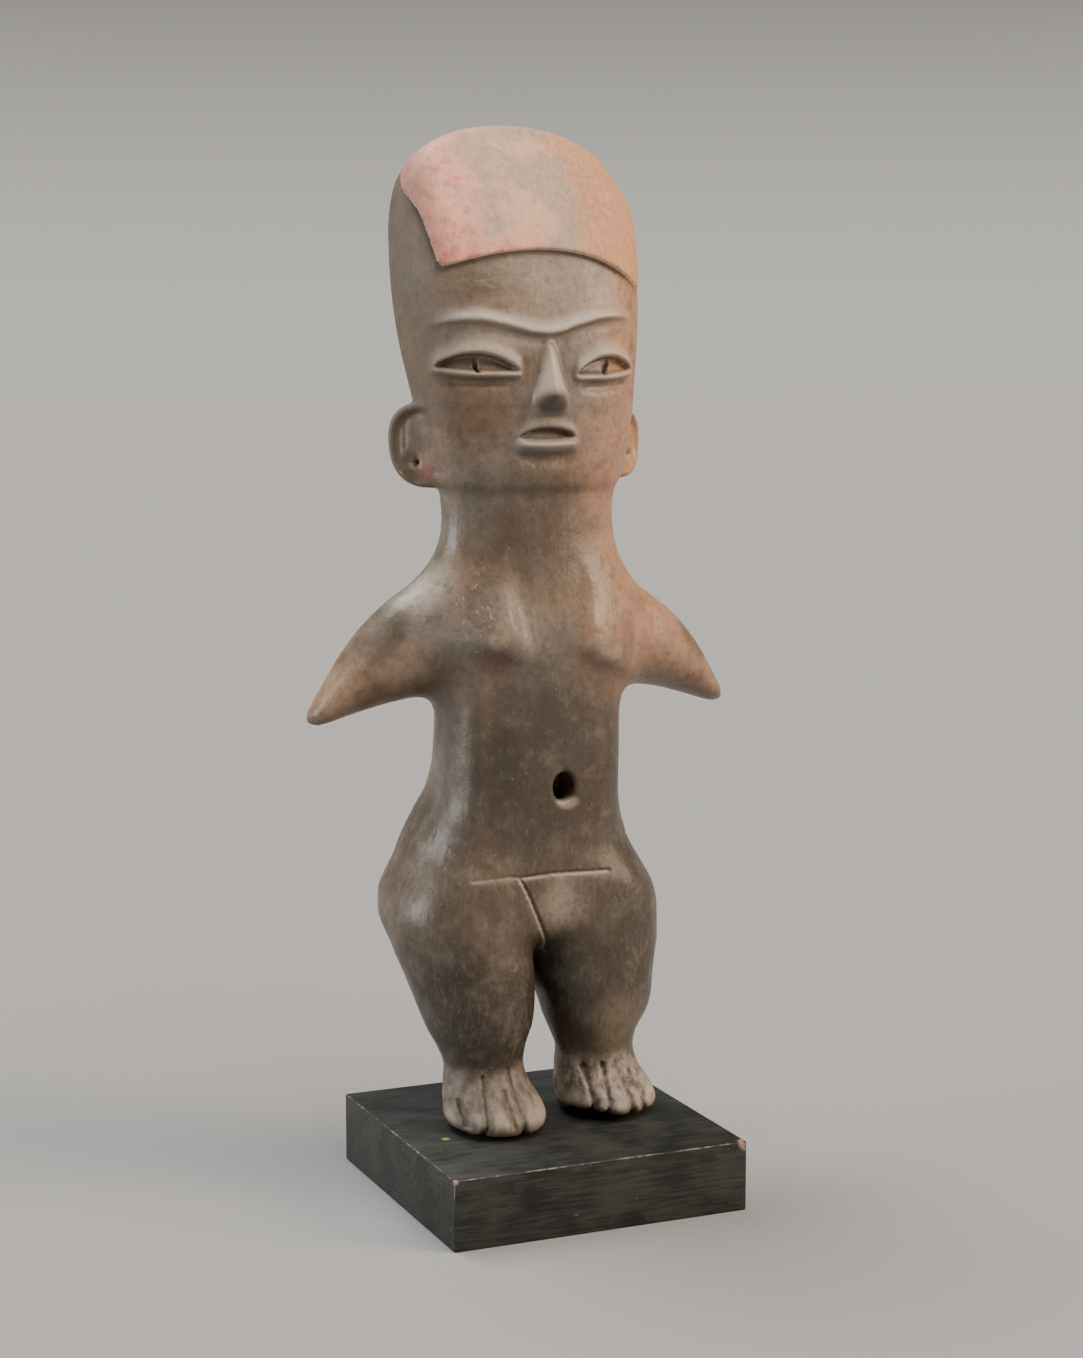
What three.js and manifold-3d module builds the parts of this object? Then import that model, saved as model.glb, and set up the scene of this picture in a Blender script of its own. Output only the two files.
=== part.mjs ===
// A hollow-ware figure of a standing woman, 358 mm tall, on a square wooden base.
// Millimetres, +Z up. The origin is the centre of the base's underside.
// The figure faces -Y, and its own right hand is at -X.
import * as THREE from 'three';
import { mergeVertices } from 'three/addons/utils/BufferGeometryUtils.js';
import Module from 'manifold-3d';

const wasm = await Module();
wasm.setup();

// Driving sizes.

const BASE_SIDE = 112;
const BASE_HEIGHT = 25.4;
const BASE_EDGE = 0.5;
const REST_GAP = 0.3;

const TRUNK_FACETS = 40;
const LEG_FACETS = 20;
const ARM_FACETS = 16;

// Headdress panel: how proud it stands, and the height of its lower edge at the middle.
const PANEL = 2.4;
const PANEL_LOW_EDGE = 339.4;
const PANEL_LOW_DROP = 9.5;
const PANEL_LOW_SLANT = 2.75;
const PANEL_HALF_WIDTH = 38.0;

// Soles: the toes lift off the board, the figure's left foot more than its right.
const TOE_LIFT_LEFT = 2.0;
const TOE_LIFT_RIGHT = 1.1;
const FOOT_LEAD = 3.0;

// The legs stand a little to one side of the middle, and the left calf bulges more.
const ANKLE_SHIFT = 1.1;
const FOOT_SHIFT = 2.3;
const CALF_SHIFT = 1.4;
const HIP_SHIFT = 1.6;

// Ears: a flap on each side of the jaw, turned towards the front.
const EAR_X = 38.0;
const EAR_Y = 12.5;
const EAR_Z = 271.0;
const EAR_REACH = 14.0;
const EAR_HALF_HEIGHT = 15.0;
const EAR_THICKNESS = 5.0;
const EAR_RIM = 2.6;
const EAR_TURN = 0.708;
const LEFT_EAR = { size: 0.81, inward: 1.0, lower: 0.8 };

const NOSE_TIP = [0, -13.6, 289.6];
const NOSE_TOP_Z = 306;
const NOSE_FOOT_Z = 282.4;
const NOSE_HALF_WIDTH = 7.0;

const EYE_INNER = 10.8;
const EYE_OUTER = 38.2;
const EYE_Z = 296.9;
const EYE_RISE = 6.4;
const EYE_DEPTH = 2.2;

const MOUTH_HALF_WIDTH = 11.0;
const MOUTH_Z = 273.4;
const MOUTH_RISE = 4.2;
const MOUTH_DEPTH = 2.4;

const NAVEL_X = 4.2;
const NAVEL_Z = 149.8;
const NAVEL_RADIUS = 4.6;
const NAVEL_DEPTH = 13.0;

// Breasts: the left one hangs lower.
const BREAST = { x: 20.8, y: 0.4, z: 202.5, drop: 4, halfWidth: 16, depth: 12.4, halfHeight: 20 };

// Below this height the trunk narrows to a wedge between the thighs.
const CROTCH_TOP = 111;
const CROTCH_FOOT = 88;
const CROTCH_SIDE = 3.0;
const LINE_RADIUS = 0.9;
const TOE_GROOVE_RADIUS = 1.3;
const TOE_WIDTH = 6.8;
const FOOT_MIDDLE = 23.2;

// Trunk, neck and head, from the crotch to the crown. Each row is a level section:
// z, centre x, half width, front y, y of the widest point, back y, squareness in front, squareness behind.
const TRUNK = [
  [88, -0.4, 48.0, -4.0, 19.0, 43.0, 2.3, 2.2],
  [97, -0.6, 50.0, -8.5, 21.0, 47.0, 2.3, 2.2],
  [106, -1.0, 49.6, -10.8, 22.5, 49.5, 2.3, 2.2],
  [117, -1.4, 45.7, -12.0, 24.0, 50.5, 2.3, 2.2],
  [127, -2.0, 42.2, -12.3, 24.0, 49.0, 2.4, 2.3],
  [137, -1.7, 37.7, -12.5, 22.5, 45.5, 2.8, 2.4],
  [147, -0.9, 34.2, -12.8, 18.0, 40.5, 3.0, 2.5],
  [158, -0.6, 33.3, -12.6, 14.0, 37.0, 3.0, 2.5],
  [172, -0.4, 33.4, -11.8, 13.0, 35.5, 3.0, 2.5],
  [190, 0, 35.2, -10.5, 12.5, 34.5, 2.8, 2.4],
  [208, 0, 36.5, -8.5, 12.5, 33.5, 2.3, 2.3],
  [222, 0, 35.8, -7.0, 12.0, 32.0, 2.2, 2.2],
  [232, 0, 34.2, -6.2, 11.8, 30.5, 2.2, 2.2],
  [245, 0, 32.2, -5.5, 11.5, 28.8, 2.2, 2.2],
  [253.5, 0, 32.8, -5.4, 11.6, 29.0, 2.2, 2.2],
  [257.5, 0, 34.2, -7.4, 12.0, 29.6, 2.3, 2.3],
  [263, 0, 36.0, -8.0, 12.2, 30.5, 2.3, 2.3],
  [278, 0.3, 39.7, -8.4, 13.5, 34.0, 2.3, 2.4],
  [292, 0.5, 42.1, -8.2, 17.0, 38.5, 2.3, 2.5],
  [310, 0.6, 44.0, -7.4, 23.0, 43.0, 2.6, 2.7],
  [326, 0.6, 44.5, -5.0, 28.0, 46.0, 3.0, 3.0],
  [338, 0.3, 44.2, -1.4, 31.0, 46.4, 3.1, 3.2],
  [348, 0, 44.0, 3.9, 33.0, 46.0, 3.1, 3.2],
  [356, -0.4, 43.4, 8.9, 35.0, 45.2, 3.0, 3.0],
  [362, -1.4, 40.6, 13.5, 36.0, 44.4, 2.8, 2.7],
  [368, -1.4, 36.6, 18.7, 36.0, 42.8, 2.4, 2.3],
  [374, -0.8, 30.8, 24.1, 36.0, 41.2, 2.1, 2.0],
  [379, -0.6, 21.8, 29.0, 36.0, 39.4, 2.0, 2.0],
  [382.6, -0.6, 3.0, 33.0, 35.4, 37.0, 2.0, 2.0],
];

// Leg and foot: z, centre x, half width, front y, y of the widest point, back y, squareness in front, behind.
const LEG = [
  [25.4, 22.8, 13.0, -16.5, 0.0, 19.0, 2.2, 2.0],
  [27.5, 23.2, 16.4, -21.0, 0.0, 20.5, 2.2, 2.0],
  [31, 23.4, 17.4, -22.2, 0.0, 21.0, 2.2, 2.1],
  [36, 23.3, 17.0, -18.4, 1.0, 20.5, 2.2, 2.1],
  [42, 23.2, 15.2, -13.2, 2.4, 19.0, 2.2, 2.1],
  [48.5, 23.2, 14.4, -10.4, 3.0, 17.5, 2.1, 2.0],
  [55, 23.0, 16.0, -11.5, 4.0, 19.5, 2.1, 2.1],
  [62, 23.0, 19.2, -13.0, 5.0, 24.5, 2.2, 2.1],
  [70, 23.2, 21.4, -13.6, 7.0, 30.0, 2.2, 2.1],
  [80, 24.0, 23.4, -13.6, 10.0, 35.5, 2.2, 2.1],
  [90, 25.4, 24.8, -13.0, 14.0, 41.5, 2.2, 2.1],
  [102, 26.1, 25.5, -12.9, 19.0, 46.5, 2.5, 2.2],
  [108, 25.4, 25.0, -12.9, 20.0, 47.5, 2.5, 2.2],
  [115, 24.2, 22.4, -12.4, 21.0, 47.0, 2.4, 2.2],
  [128, 20.0, 16.0, -6.0, 20.0, 38.0, 2.2, 2.2],
];

// Arm stub, from inside the trunk to the tip: x, top z, underside z, front y, back y.
const ARM = [
  [22, 235.0, 184.0, -5.5, 31.0],
  [34, 228.0, 182.0, -4.0, 31.0],
  [44, 221.5, 181.5, -2.0, 30.5],
  [52, 216.0, 180.3, 0.0, 29.5],
  [60, 208.8, 178.3, 3.0, 28.5],
  [68, 199.0, 175.8, 6.5, 27.0],
  [74, 189.6, 173.8, 9.6, 25.5],
  [78.5, 182.2, 172.9, 12.4, 23.8],
  [81, 178.0, 173.6, 15.2, 21.4],
  [81.9, 176.3, 174.9, 17.0, 19.4],
];

// Curves through a table.

// A smooth curve through one column of a table that never overshoots its rows.
function columnCurve(table, column) {
  const at = table.map((row) => row[0]);
  const value = table.map((row) => row[column]);
  const last = at.length - 1;
  const slope = [];
  for (let i = 0; i < last; i++) slope.push((value[i + 1] - value[i]) / (at[i + 1] - at[i]));
  const tangent = [slope[0]];
  for (let i = 1; i < last; i++) {
    const turns = slope[i - 1] * slope[i] <= 0;
    const before = at[i] - at[i - 1];
    const after = at[i + 1] - at[i];
    const w1 = 2 * after + before;
    const w2 = after + 2 * before;
    tangent.push(turns ? 0 : (w1 + w2) / (w1 / slope[i - 1] + w2 / slope[i]));
  }
  tangent.push(slope[last - 1]);
  return (where) => {
    const x = Math.min(Math.max(where, at[0]), at[last]);
    let i = 0;
    while (i < last - 1 && x > at[i + 1]) i++;
    const h = at[i + 1] - at[i];
    const t = (x - at[i]) / h;
    const rise = t * t * (3 - 2 * t);
    const lead = t * (1 - t) * (1 - t) * h * tangent[i];
    const trail = t * t * (t - 1) * h * tangent[i + 1];
    return value[i] + rise * (value[i + 1] - value[i]) + lead + trail;
  };
}

function tableCurves(table) {
  return table[0].slice(1).map((_, k) => columnCurve(table, k + 1));
}

const trunkCurves = tableCurves(TRUNK);
const legCurves = tableCurves(LEG);
const armCurves = tableCurves(ARM);

function smoothStep(t) {
  const u = Math.min(Math.max(t, 0), 1);
  return u * u * (3 - 2 * u);
}

// Level sections.

// A point on an oval whose front and back halves have their own depth and squareness.
function ovalPoint(angle, halfWidth, front, middle, back, squareFront, squareBack) {
  const c = Math.cos(angle);
  const s = Math.sin(angle);
  const n = s < 0 ? squareFront : squareBack;
  const depth = s < 0 ? middle - front : back - middle;
  const x = halfWidth * Math.sign(c) * Math.pow(Math.abs(c), 2 / n);
  const y = middle + depth * Math.sign(s) * Math.pow(Math.abs(s), 2 / n);
  return [x, y];
}

function trunkPoint(z, angle) {
  const [centre, halfWidth, front, middle, back, nf, nb] = trunkCurves.map((f) => f(z));
  const low = Math.max(CROTCH_TOP - z, 0) / (CROTCH_TOP - CROTCH_FOOT);
  const narrow = 1 - 0.9 * Math.pow(low, 1.3);
  const under = Math.max(101 - z, 0) / 14;
  const shallow = Math.sqrt(Math.max(1 - under * under, 0));
  const [x, y] = ovalPoint(angle, halfWidth * narrow, front, middle, back, nf, nb);
  return new THREE.Vector3(centre + CROTCH_SIDE * low + x, 16 + (y - 16) * shallow, z);
}

// The panel's face lies parallel to the sloping front of the crown, PANEL further out.
function panelPoint(z, angle) {
  const zUnder = z - 0.579 * PANEL;
  const [centre, halfWidth, front, middle, back, nf, nb] = trunkCurves.map((f) => f(zUnder));
  const grown = halfWidth + 0.815 * PANEL;
  const [x, y] = ovalPoint(angle, grown, front - 0.815 * PANEL, middle, back, nf, nb);
  return new THREE.Vector3(centre + x, y, z);
}

function legShift(side, z) {
  const low = ANKLE_SHIFT * smoothStep((60 - z) / 16) + FOOT_SHIFT * smoothStep((46 - z) / 14);
  const calf = side > 0 ? CALF_SHIFT * Math.exp(-(((z - 66) / 9) ** 2)) : 0;
  return low + calf - HIP_SHIFT * smoothStep((z - 88) / 14);
}

function footLead(side, z) {
  return side * FOOT_LEAD * smoothStep((80 - z) / 35);
}

function legPoint(side) {
  const lift = side > 0 ? TOE_LIFT_LEFT : TOE_LIFT_RIGHT;
  return (z, angle) => {
    const [centre, halfWidth, front, middle, back, nf, nb] = legCurves.map((f) => f(z));
    const [x, y] = ovalPoint(angle, halfWidth, front, middle, back, nf, nb);
    const nearSole = smoothStep((36 - z) / 10);
    const toes = smoothStep((7 - y) / 16);
    const rise = (REST_GAP + lift * toes) * nearSole;
    return new THREE.Vector3(side * centre + x + legShift(side, z), y + footLead(side, z), z + rise);
  };
}

function armPoint(side) {
  return (along, angle) => {
    const [top, under, front, back] = armCurves.map((f) => f(along));
    const drop = side > 0 ? 2.8 * Math.exp(-(((along - 48) / 16) ** 2)) : 0;
    const high = top - drop;
    const y = (front + back) / 2 + ((back - front) / 2) * Math.cos(side * angle);
    const z = (high + under) / 2 + ((high - under) / 2) * Math.sin(side * angle);
    return new THREE.Vector3(side * along, y, z);
  };
}

// Where the skin's front lies, for seating the relief.

function trunkFront(x, z) {
  const [centre, halfWidth, front, middle, , nf] = trunkCurves.map((f) => f(z));
  const across = Math.min(Math.abs(x - centre) / halfWidth, 0.999);
  return middle - (middle - front) * Math.pow(1 - Math.pow(across, nf), 1 / nf);
}

function legFront(side, x, z) {
  const [centre, halfWidth, front, middle, , nf] = legCurves.map((f) => f(z));
  const across = Math.min(Math.abs(x - side * centre - legShift(side, z)) / halfWidth, 0.999);
  return middle - (middle - front) * Math.pow(1 - Math.pow(across, nf), 1 / nf) + footLead(side, z);
}

function skinFront(x, z) {
  const legs = z < 127 ? Math.min(legFront(-1, x, z), legFront(1, x, z)) : Infinity;
  return z > 92 ? Math.min(trunkFront(x, z), legs) : legs;
}

// Solids.

// Turns a closed three.js geometry into a solid; side -1 mirrors it across x = 0.
function solid(geometry, side = 1) {
  geometry.deleteAttribute('normal');
  geometry.deleteAttribute('uv');
  const merged = mergeVertices(geometry, 1e-4);
  const vertProperties = Float32Array.from(merged.getAttribute('position').array);
  const triVerts = Uint32Array.from(merged.index.array);
  if (side < 0) {
    for (let i = 0; i < vertProperties.length; i += 3) vertProperties[i] *= -1;
    for (let i = 0; i < triVerts.length; i += 3) {
      const second = triVerts[i + 1];
      triVerts[i + 1] = triVerts[i + 2];
      triVerts[i + 2] = second;
    }
  }
  return new wasm.Manifold(new wasm.Mesh({ numProp: 3, vertProperties, triVerts }));
}

function geometryOf(manifold) {
  const mesh = manifold.getMesh();
  const geometry = new THREE.BufferGeometry();
  geometry.setAttribute('position', new THREE.BufferAttribute(Float32Array.from(mesh.vertProperties), 3));
  geometry.setIndex(new THREE.BufferAttribute(Uint32Array.from(mesh.triVerts), 1));
  geometry.computeVertexNormals();
  return geometry;
}

// The direction of a ring's corner, counted round from the front.
function turnOf(step, facets) {
  return (2 * Math.PI * step) / facets - Math.PI / 2;
}

// A closed cylinder whose rings are moved out to the sections at the given stops.
function loft(stops, facets, point) {
  const last = stops.length - 1;
  const geometry = new THREE.CylinderGeometry(1, 1, 1, facets, last);
  const position = geometry.getAttribute('position');
  const middles = stops.map((stop) => {
    const sum = new THREE.Vector3();
    for (let k = 0; k < facets; k++) sum.add(point(stop, turnOf(k, facets)));
    return sum.divideScalar(facets);
  });
  for (let i = 0; i < position.count; i++) {
    const level = Math.round((position.getY(i) + 0.5) * last);
    const atCentre = Math.hypot(position.getX(i), position.getZ(i)) < 0.5;
    const fromFront = Math.atan2(-position.getZ(i), position.getX(i)) + Math.PI / 2;
    const step = Math.round((fromFront * facets) / (2 * Math.PI) + facets) % facets;
    const p = atCentre ? middles[level] : point(stops[level], turnOf(step, facets));
    position.setXYZ(i, p.x, p.y, p.z);
  }
  return geometry;
}

// Evenly spaced stops, no further apart than the spacing.
function stopsThrough(from, to, spacing) {
  const count = Math.ceil((to - from) / spacing);
  return Array.from({ length: count + 1 }, (_, k) => from + ((to - from) * k) / count);
}

// A round cord through some points, its ends closed.
function cord(points, radius, steps, sides = 8) {
  const ring = new THREE.Shape();
  ring.absarc(0, 0, radius, 0, 2 * Math.PI);
  const path = new THREE.CatmullRomCurve3(points.map((p) => new THREE.Vector3(...p)));
  return new THREE.ExtrudeGeometry(ring, { steps, extrudePath: path, curveSegments: sides / 2 });
}

// A line lying on the front of the skin, sunk by the given depth.
function alongFront(line, sink, front = skinFront) {
  return line.map(([x, z]) => [x, front(x, z) + sink, z]);
}

// A flat outline in x and z, carried from front to back.
function throughY(shape, near, far) {
  const settings = { depth: far - near, bevelEnabled: false, curveSegments: 10 };
  const geometry = new THREE.ExtrudeGeometry(shape, settings);
  geometry.rotateX(Math.PI / 2);
  geometry.translate(0, far, 0);
  return geometry;
}

// A flat outline in y and z, carried from side to side.
function throughX(shape, halfLength) {
  const geometry = new THREE.ExtrudeGeometry(shape, { depth: 2 * halfLength, bevelEnabled: false });
  geometry.translate(0, 0, -halfLength);
  const turn = new THREE.Matrix4();
  turn.makeBasis(new THREE.Vector3(0, 1, 0), new THREE.Vector3(0, 0, 1), new THREE.Vector3(1, 0, 0));
  geometry.applyMatrix4(turn);
  return geometry;
}

function outline(points) {
  return new THREE.Shape(points.map(([x, y]) => new THREE.Vector2(x, y)));
}

// The body.

function makeTrunk() {
  const torso = [88.2, 90, 94, 99, 105].concat(stopsThrough(113, 248, 12.5));
  const jaw = [252, 255, 258, 262];
  const crown = [363, 367, 371, 375, 378, 380.5, 382.5];
  const levels = torso.concat(jaw, stopsThrough(270, 358, 11), crown);
  return solid(loft(levels, TRUNK_FACETS, trunkPoint));
}

function makeLeg(side) {
  const levels = [25.4, 27.2, 30.5, 35, 40, 44.5, 48.5, 53.5, 60, 68, 78, 90, 101, 108, 115, 126];
  return solid(loft(levels, LEG_FACETS, legPoint(side)));
}

function makeArm(side) {
  const levels = [23, 34, 43, 51, 58, 64, 69.5, 74, 77.5, 80, 81.4, 81.85];
  return solid(loft(levels, ARM_FACETS, armPoint(side)));
}

function makeBreast(side) {
  const geometry = new THREE.SphereGeometry(1, 16, 10);
  geometry.scale(BREAST.halfWidth, BREAST.depth, BREAST.halfHeight);
  geometry.translate(side * BREAST.x, BREAST.y, BREAST.z - (side > 0 ? BREAST.drop : 0));
  return solid(geometry);
}

// The headdress panel.

// The panel's side edge as y and z, from the brow up to the arch.
const PANEL_SIDE = [
  [-0.5, 327], [2.8, 332.5], [5.6, 338.4], [9.3, 345], [13.1, 351], [16.6, 355], [20.6, 358.4], [26, 361.7],
  [31, 364.5], [34.5, 368], [36.5, 376], [37, 390],
];

function makePanel() {
  const levels = [328, 336, 344, 351, 357, 362, 367, 372, 376, 379.5, 382, 384];
  const slab = solid(loft(levels, TRUNK_FACETS, panelPoint));
  const low = [];
  for (let k = -10; k <= 10; k++) {
    const x = (k * 48) / 10;
    const out = x / PANEL_HALF_WIDTH;
    const drop = PANEL_LOW_DROP * Math.pow(Math.abs(out), 2.2) + PANEL_LOW_SLANT * out ** 3;
    low.push([x, PANEL_LOW_EDGE - drop]);
  }
  const front = solid(throughY(outline(low.concat([[48, 400], [-48, 400]])), -40, 50));
  const side = solid(throughX(outline(PANEL_SIDE.concat([[-40, 390], [-40, 320], [-6, 320]])), 60));
  return slab.intersect(front).intersect(side);
}

// The face.

// An almond lying on its flatter edge, its ends at x0 and x1.
function almond(x0, x1, z, rise, sag) {
  const shape = new THREE.Shape();
  const third = (x1 - x0) / 3;
  shape.moveTo(x0, z);
  shape.bezierCurveTo(x0 + third, z - sag, x1 - third, z - sag, x1, z);
  shape.bezierCurveTo(x1 - third, z + rise * 1.33, x0 + third, z + rise * 1.33, x0, z);
  return shape;
}

// The eye is cut square to the face where it turns towards the temple.
function makeEyeCut(side) {
  const span = EYE_OUTER - EYE_INNER;
  const geometry = throughY(almond(-span / 2, span / 2, 0, EYE_RISE, 0.5), -14, 0);
  const inner = trunkFront(EYE_INNER, EYE_Z);
  const outer = trunkFront(EYE_OUTER, EYE_Z);
  const turn = Math.atan2(outer - inner, span);
  geometry.scale(1 / Math.cos(turn), 1, 1);
  geometry.rotateZ(turn);
  geometry.translate((EYE_INNER + EYE_OUTER) / 2, (inner + outer) / 2 - 1.6 + EYE_DEPTH, EYE_Z + 0.6);
  return solid(geometry, side);
}

function makePupil(side) {
  const geometry = new THREE.CylinderGeometry(0.8, 0.8, 9, 8);
  geometry.scale(1, 1, 2);
  geometry.translate(24.8, trunkFront(24.8, 299) + 2.4, 299.4);
  return solid(geometry, side);
}

function makeLids(side) {
  const lower = [];
  const upper = [];
  for (let k = 0; k <= 6; k++) {
    const x = EYE_INNER + ((EYE_OUTER - EYE_INNER) * k) / 6;
    const u = (2 * k) / 6 - 1;
    lower.push([x, EYE_Z - 0.5 + 1.3 * Math.max(u, 0) ** 2]);
    upper.push([x, EYE_Z + 1.2 + (EYE_RISE + 0.4) * (1 - u * u) + 0.8 * Math.max(u, 0)]);
  }
  const low = solid(cord(alongFront(lower, 0.5, trunkFront), 1.5, 10, 6), side);
  const high = solid(cord(alongFront(upper, 0.7, trunkFront), 1.5, 10, 6), side);
  return [low, high];
}

function makeBrow() {
  const half = [[-37, 314.4], [-33, 316], [-27, 316.6], [-20, 315.8], [-13, 313.8], [-6, 311.2], [0, 310.2]];
  const whole = half.concat(half.slice(0, -1).reverse().map(([x, z]) => [-x, z]));
  return solid(cord(alongFront(whole, 0.9, trunkFront), 2.3, 16, 6));
}

// A wedge: narrow at the bridge, widest at the wings, its underside sloping back.
function makeNose() {
  const [tx, ty, tz] = NOSE_TIP;
  const faceY = trunkFront(0, tz);
  const heights = [NOSE_FOOT_Z, 284.6, tz, 297, NOSE_TOP_Z];
  const reach = [0.25, 0.55, 1, 0.66, 0.3].map((k) => faceY + (ty - faceY) * k);
  const half = [NOSE_HALF_WIDTH, NOSE_HALF_WIDTH, 6.2, 4.2, 2.2];
  const point = (stop, angle) => {
    const c = Math.cos(angle);
    const s = Math.sin(angle);
    const back = faceY + 1;
    const y = s < 0 ? back + (reach[stop] - back) * Math.pow(-s, 1.6) : back + 4 * s;
    return new THREE.Vector3(tx + half[stop] * c, y, heights[stop]);
  };
  return solid(loft([0, 1, 2, 3, 4], 12, point));
}

function makeMouthCut() {
  const shape = almond(-MOUTH_HALF_WIDTH, MOUTH_HALF_WIDTH, MOUTH_Z + 0.6, MOUTH_RISE, 0.6);
  const back = trunkFront(0, MOUTH_Z) + MOUTH_DEPTH;
  return solid(throughY(shape, back - 14, back));
}

function makeLips() {
  const lower = [];
  const upper = [];
  for (let k = -3; k <= 3; k++) {
    const x = (MOUTH_HALF_WIDTH * k) / 3;
    const fall = 1 - (k / 3) ** 2;
    lower.push([x, MOUTH_Z - 0.9 * fall]);
    upper.push([x, MOUTH_Z + 1.4 + (MOUTH_RISE + 0.2) * fall]);
  }
  const low = solid(cord(alongFront(lower, 0.4, trunkFront), 2.1, 12, 8));
  const high = solid(cord(alongFront(upper, 0.5, trunkFront), 1.5, 12, 6));
  return [low, high];
}

// The ears.

// A squared oval, drawn about a shifted centre.
function earShape(reach, halfHeight, shift) {
  const points = [];
  for (let k = 0; k < 16; k++) {
    const angle = (2 * Math.PI * k) / 16;
    const c = Math.cos(angle);
    const s = Math.sin(angle);
    const x = reach * Math.sign(c) * Math.pow(Math.abs(c), 2 / 2.6) + shift;
    points.push([x, halfHeight * Math.sign(s) * Math.pow(Math.abs(s), 2 / 2.6)]);
  }
  return outline(points);
}

// Turns a shape drawn flat (x outward, y up, z towards the front) to its place on the head.
function seatEar(geometry, side) {
  const { size, inward, lower } = side > 0 ? LEFT_EAR : { size: 1, inward: 0, lower: 0 };
  const out = new THREE.Vector3(Math.cos(EAR_TURN), Math.sin(EAR_TURN), 0);
  const up = new THREE.Vector3(0, 0, 1);
  const facing = new THREE.Vector3().crossVectors(out, up);
  geometry.scale(size, size, 1);
  const seat = new THREE.Matrix4().makeBasis(out, up, facing);
  geometry.applyMatrix4(seat.setPosition(EAR_X - inward, EAR_Y, EAR_Z - lower));
  return geometry;
}

function makeEar(side) {
  const bevel = 0.8;
  const depth = EAR_THICKNESS - 2 * bevel;
  const settings = { depth, bevelSize: bevel, bevelThickness: bevel, bevelSegments: 1, bevelOffset: -bevel };
  const flap = new THREE.ExtrudeGeometry(earShape(EAR_REACH, EAR_HALF_HEIGHT, 0), settings);
  flap.translate(0, 0, bevel - EAR_THICKNESS / 2);
  const wellShape = earShape(EAR_REACH - EAR_RIM - 1, EAR_HALF_HEIGHT - EAR_RIM, -1);
  const well = new THREE.ExtrudeGeometry(wellShape, { depth: 4, bevelEnabled: false });
  well.translate(0, 0, EAR_THICKNESS / 2 - 0.9);
  const dimple = new THREE.SphereGeometry(3.2, 10, 6);
  dimple.translate(5.0, -6.4, EAR_THICKNESS / 2 + 0.6);
  const hole = new THREE.CylinderGeometry(1.1, 1.1, 8, 8);
  hole.rotateX(Math.PI / 2);
  hole.translate(4.6, -6.2, EAR_THICKNESS / 2 + 0.9);
  return solid(seatEar(flap, side), side)
    .subtract(solid(seatEar(well, side), side))
    .subtract(solid(seatEar(dimple, side), side))
    .subtract(solid(seatEar(hole, side), side));
}

// Cuts in the body.

// The navel is a blind bore, a little narrower at its end.
function makeNavelCut() {
  const length = NAVEL_DEPTH + 8;
  const geometry = new THREE.CylinderGeometry(NAVEL_RADIUS * 0.75, NAVEL_RADIUS, length, 20);
  geometry.scale(0.94, 1, 1.22);
  geometry.translate(NAVEL_X, skinFront(NAVEL_X, NAVEL_Z) + NAVEL_DEPTH - length / 2, NAVEL_Z);
  return solid(geometry);
}

function makeLines() {
  const across = [[-30.7, 118], [-16.5, 118.5], [-11.4, 117.7], [0.4, 118.4], [21.8, 117.9]];
  const groin = [[-12.7, 117.6], [-10.1, 112.7], [-7.3, 106.8], [-4.9, 101.7], [-2.5, 96.7]];
  const lines = [across, groin];
  return lines.map((line) => solid(cord(alongFront(line, -0.1), LINE_RADIUS, line.length * 2, 6)));
}

function makeToeGrooves(side) {
  const cuts = [];
  for (let k = -1.5; k <= 1.5; k++) {
    const line = [];
    for (let j = 0; j <= 5; j++) {
      const z = 27.5 + j * 3;
      const spread = 1 - 0.35 * (j / 5);
      const x = side * FOOT_MIDDLE + k * TOE_WIDTH * spread + legShift(side, z);
      line.push([x, legFront(side, x, z) + 0.1, z]);
    }
    cuts.push(solid(cord(line, TOE_GROOVE_RADIUS, 4, 6)));
  }
  return cuts;
}

// Putting it together.

function makeFigure() {
  let body = makeTrunk();
  const added = [makePanel(), makeBrow(), makeNose()];
  const cuts = [makeNavelCut(), makeMouthCut(), ...makeLines()];
  for (const side of [-1, 1]) {
    added.push(makeLeg(side), makeArm(side), makeBreast(side), makeEar(side), ...makeLids(side));
    cuts.push(makeEyeCut(side), makePupil(side), ...makeToeGrooves(side));
  }
  added.push(...makeLips());
  for (const piece of added) body = body.add(piece);
  for (const cut of cuts) body = body.subtract(cut);
  return geometryOf(body);
}

function makeBase() {
  const half = BASE_SIDE / 2 - BASE_EDGE;
  const square = outline([[-half, -half], [half, -half], [half, half], [-half, half]]);
  const depth = BASE_HEIGHT - 2 * BASE_EDGE;
  const settings = { depth, bevelSize: BASE_EDGE, bevelThickness: BASE_EDGE, bevelSegments: 1 };
  const geometry = new THREE.ExtrudeGeometry(square, settings);
  geometry.translate(0, 0, BASE_EDGE);
  return geometryOf(solid(geometry));
}

const ceramic = new THREE.MeshStandardMaterial({ color: 0x7a6350, roughness: 0.5, metalness: 0 });
const paintedWood = new THREE.MeshStandardMaterial({ color: 0x2b2d2c, roughness: 0.62, metalness: 0 });

const group = new THREE.Group();

const figure = new THREE.Mesh(makeFigure(), ceramic);
figure.name = 'figure';
group.add(figure);

const base = new THREE.Mesh(makeBase(), paintedWood);
base.name = 'base';
group.add(base);

export default group;
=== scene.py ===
# %% [markdown]
# # A burnished clay figure on a painted base
#
# A standing woman in burnished earthenware, 358 mm tall, on a square board painted black.
# The board's underside is z = 0, the figure faces -Y, and its own right hand is at -X.
# The measured solids are loaded first, and every finished piece is laid over them in the same
# frame, so what is seen and what is weighed keep the same shape.

# %% Load the measured solids
import math

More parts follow.
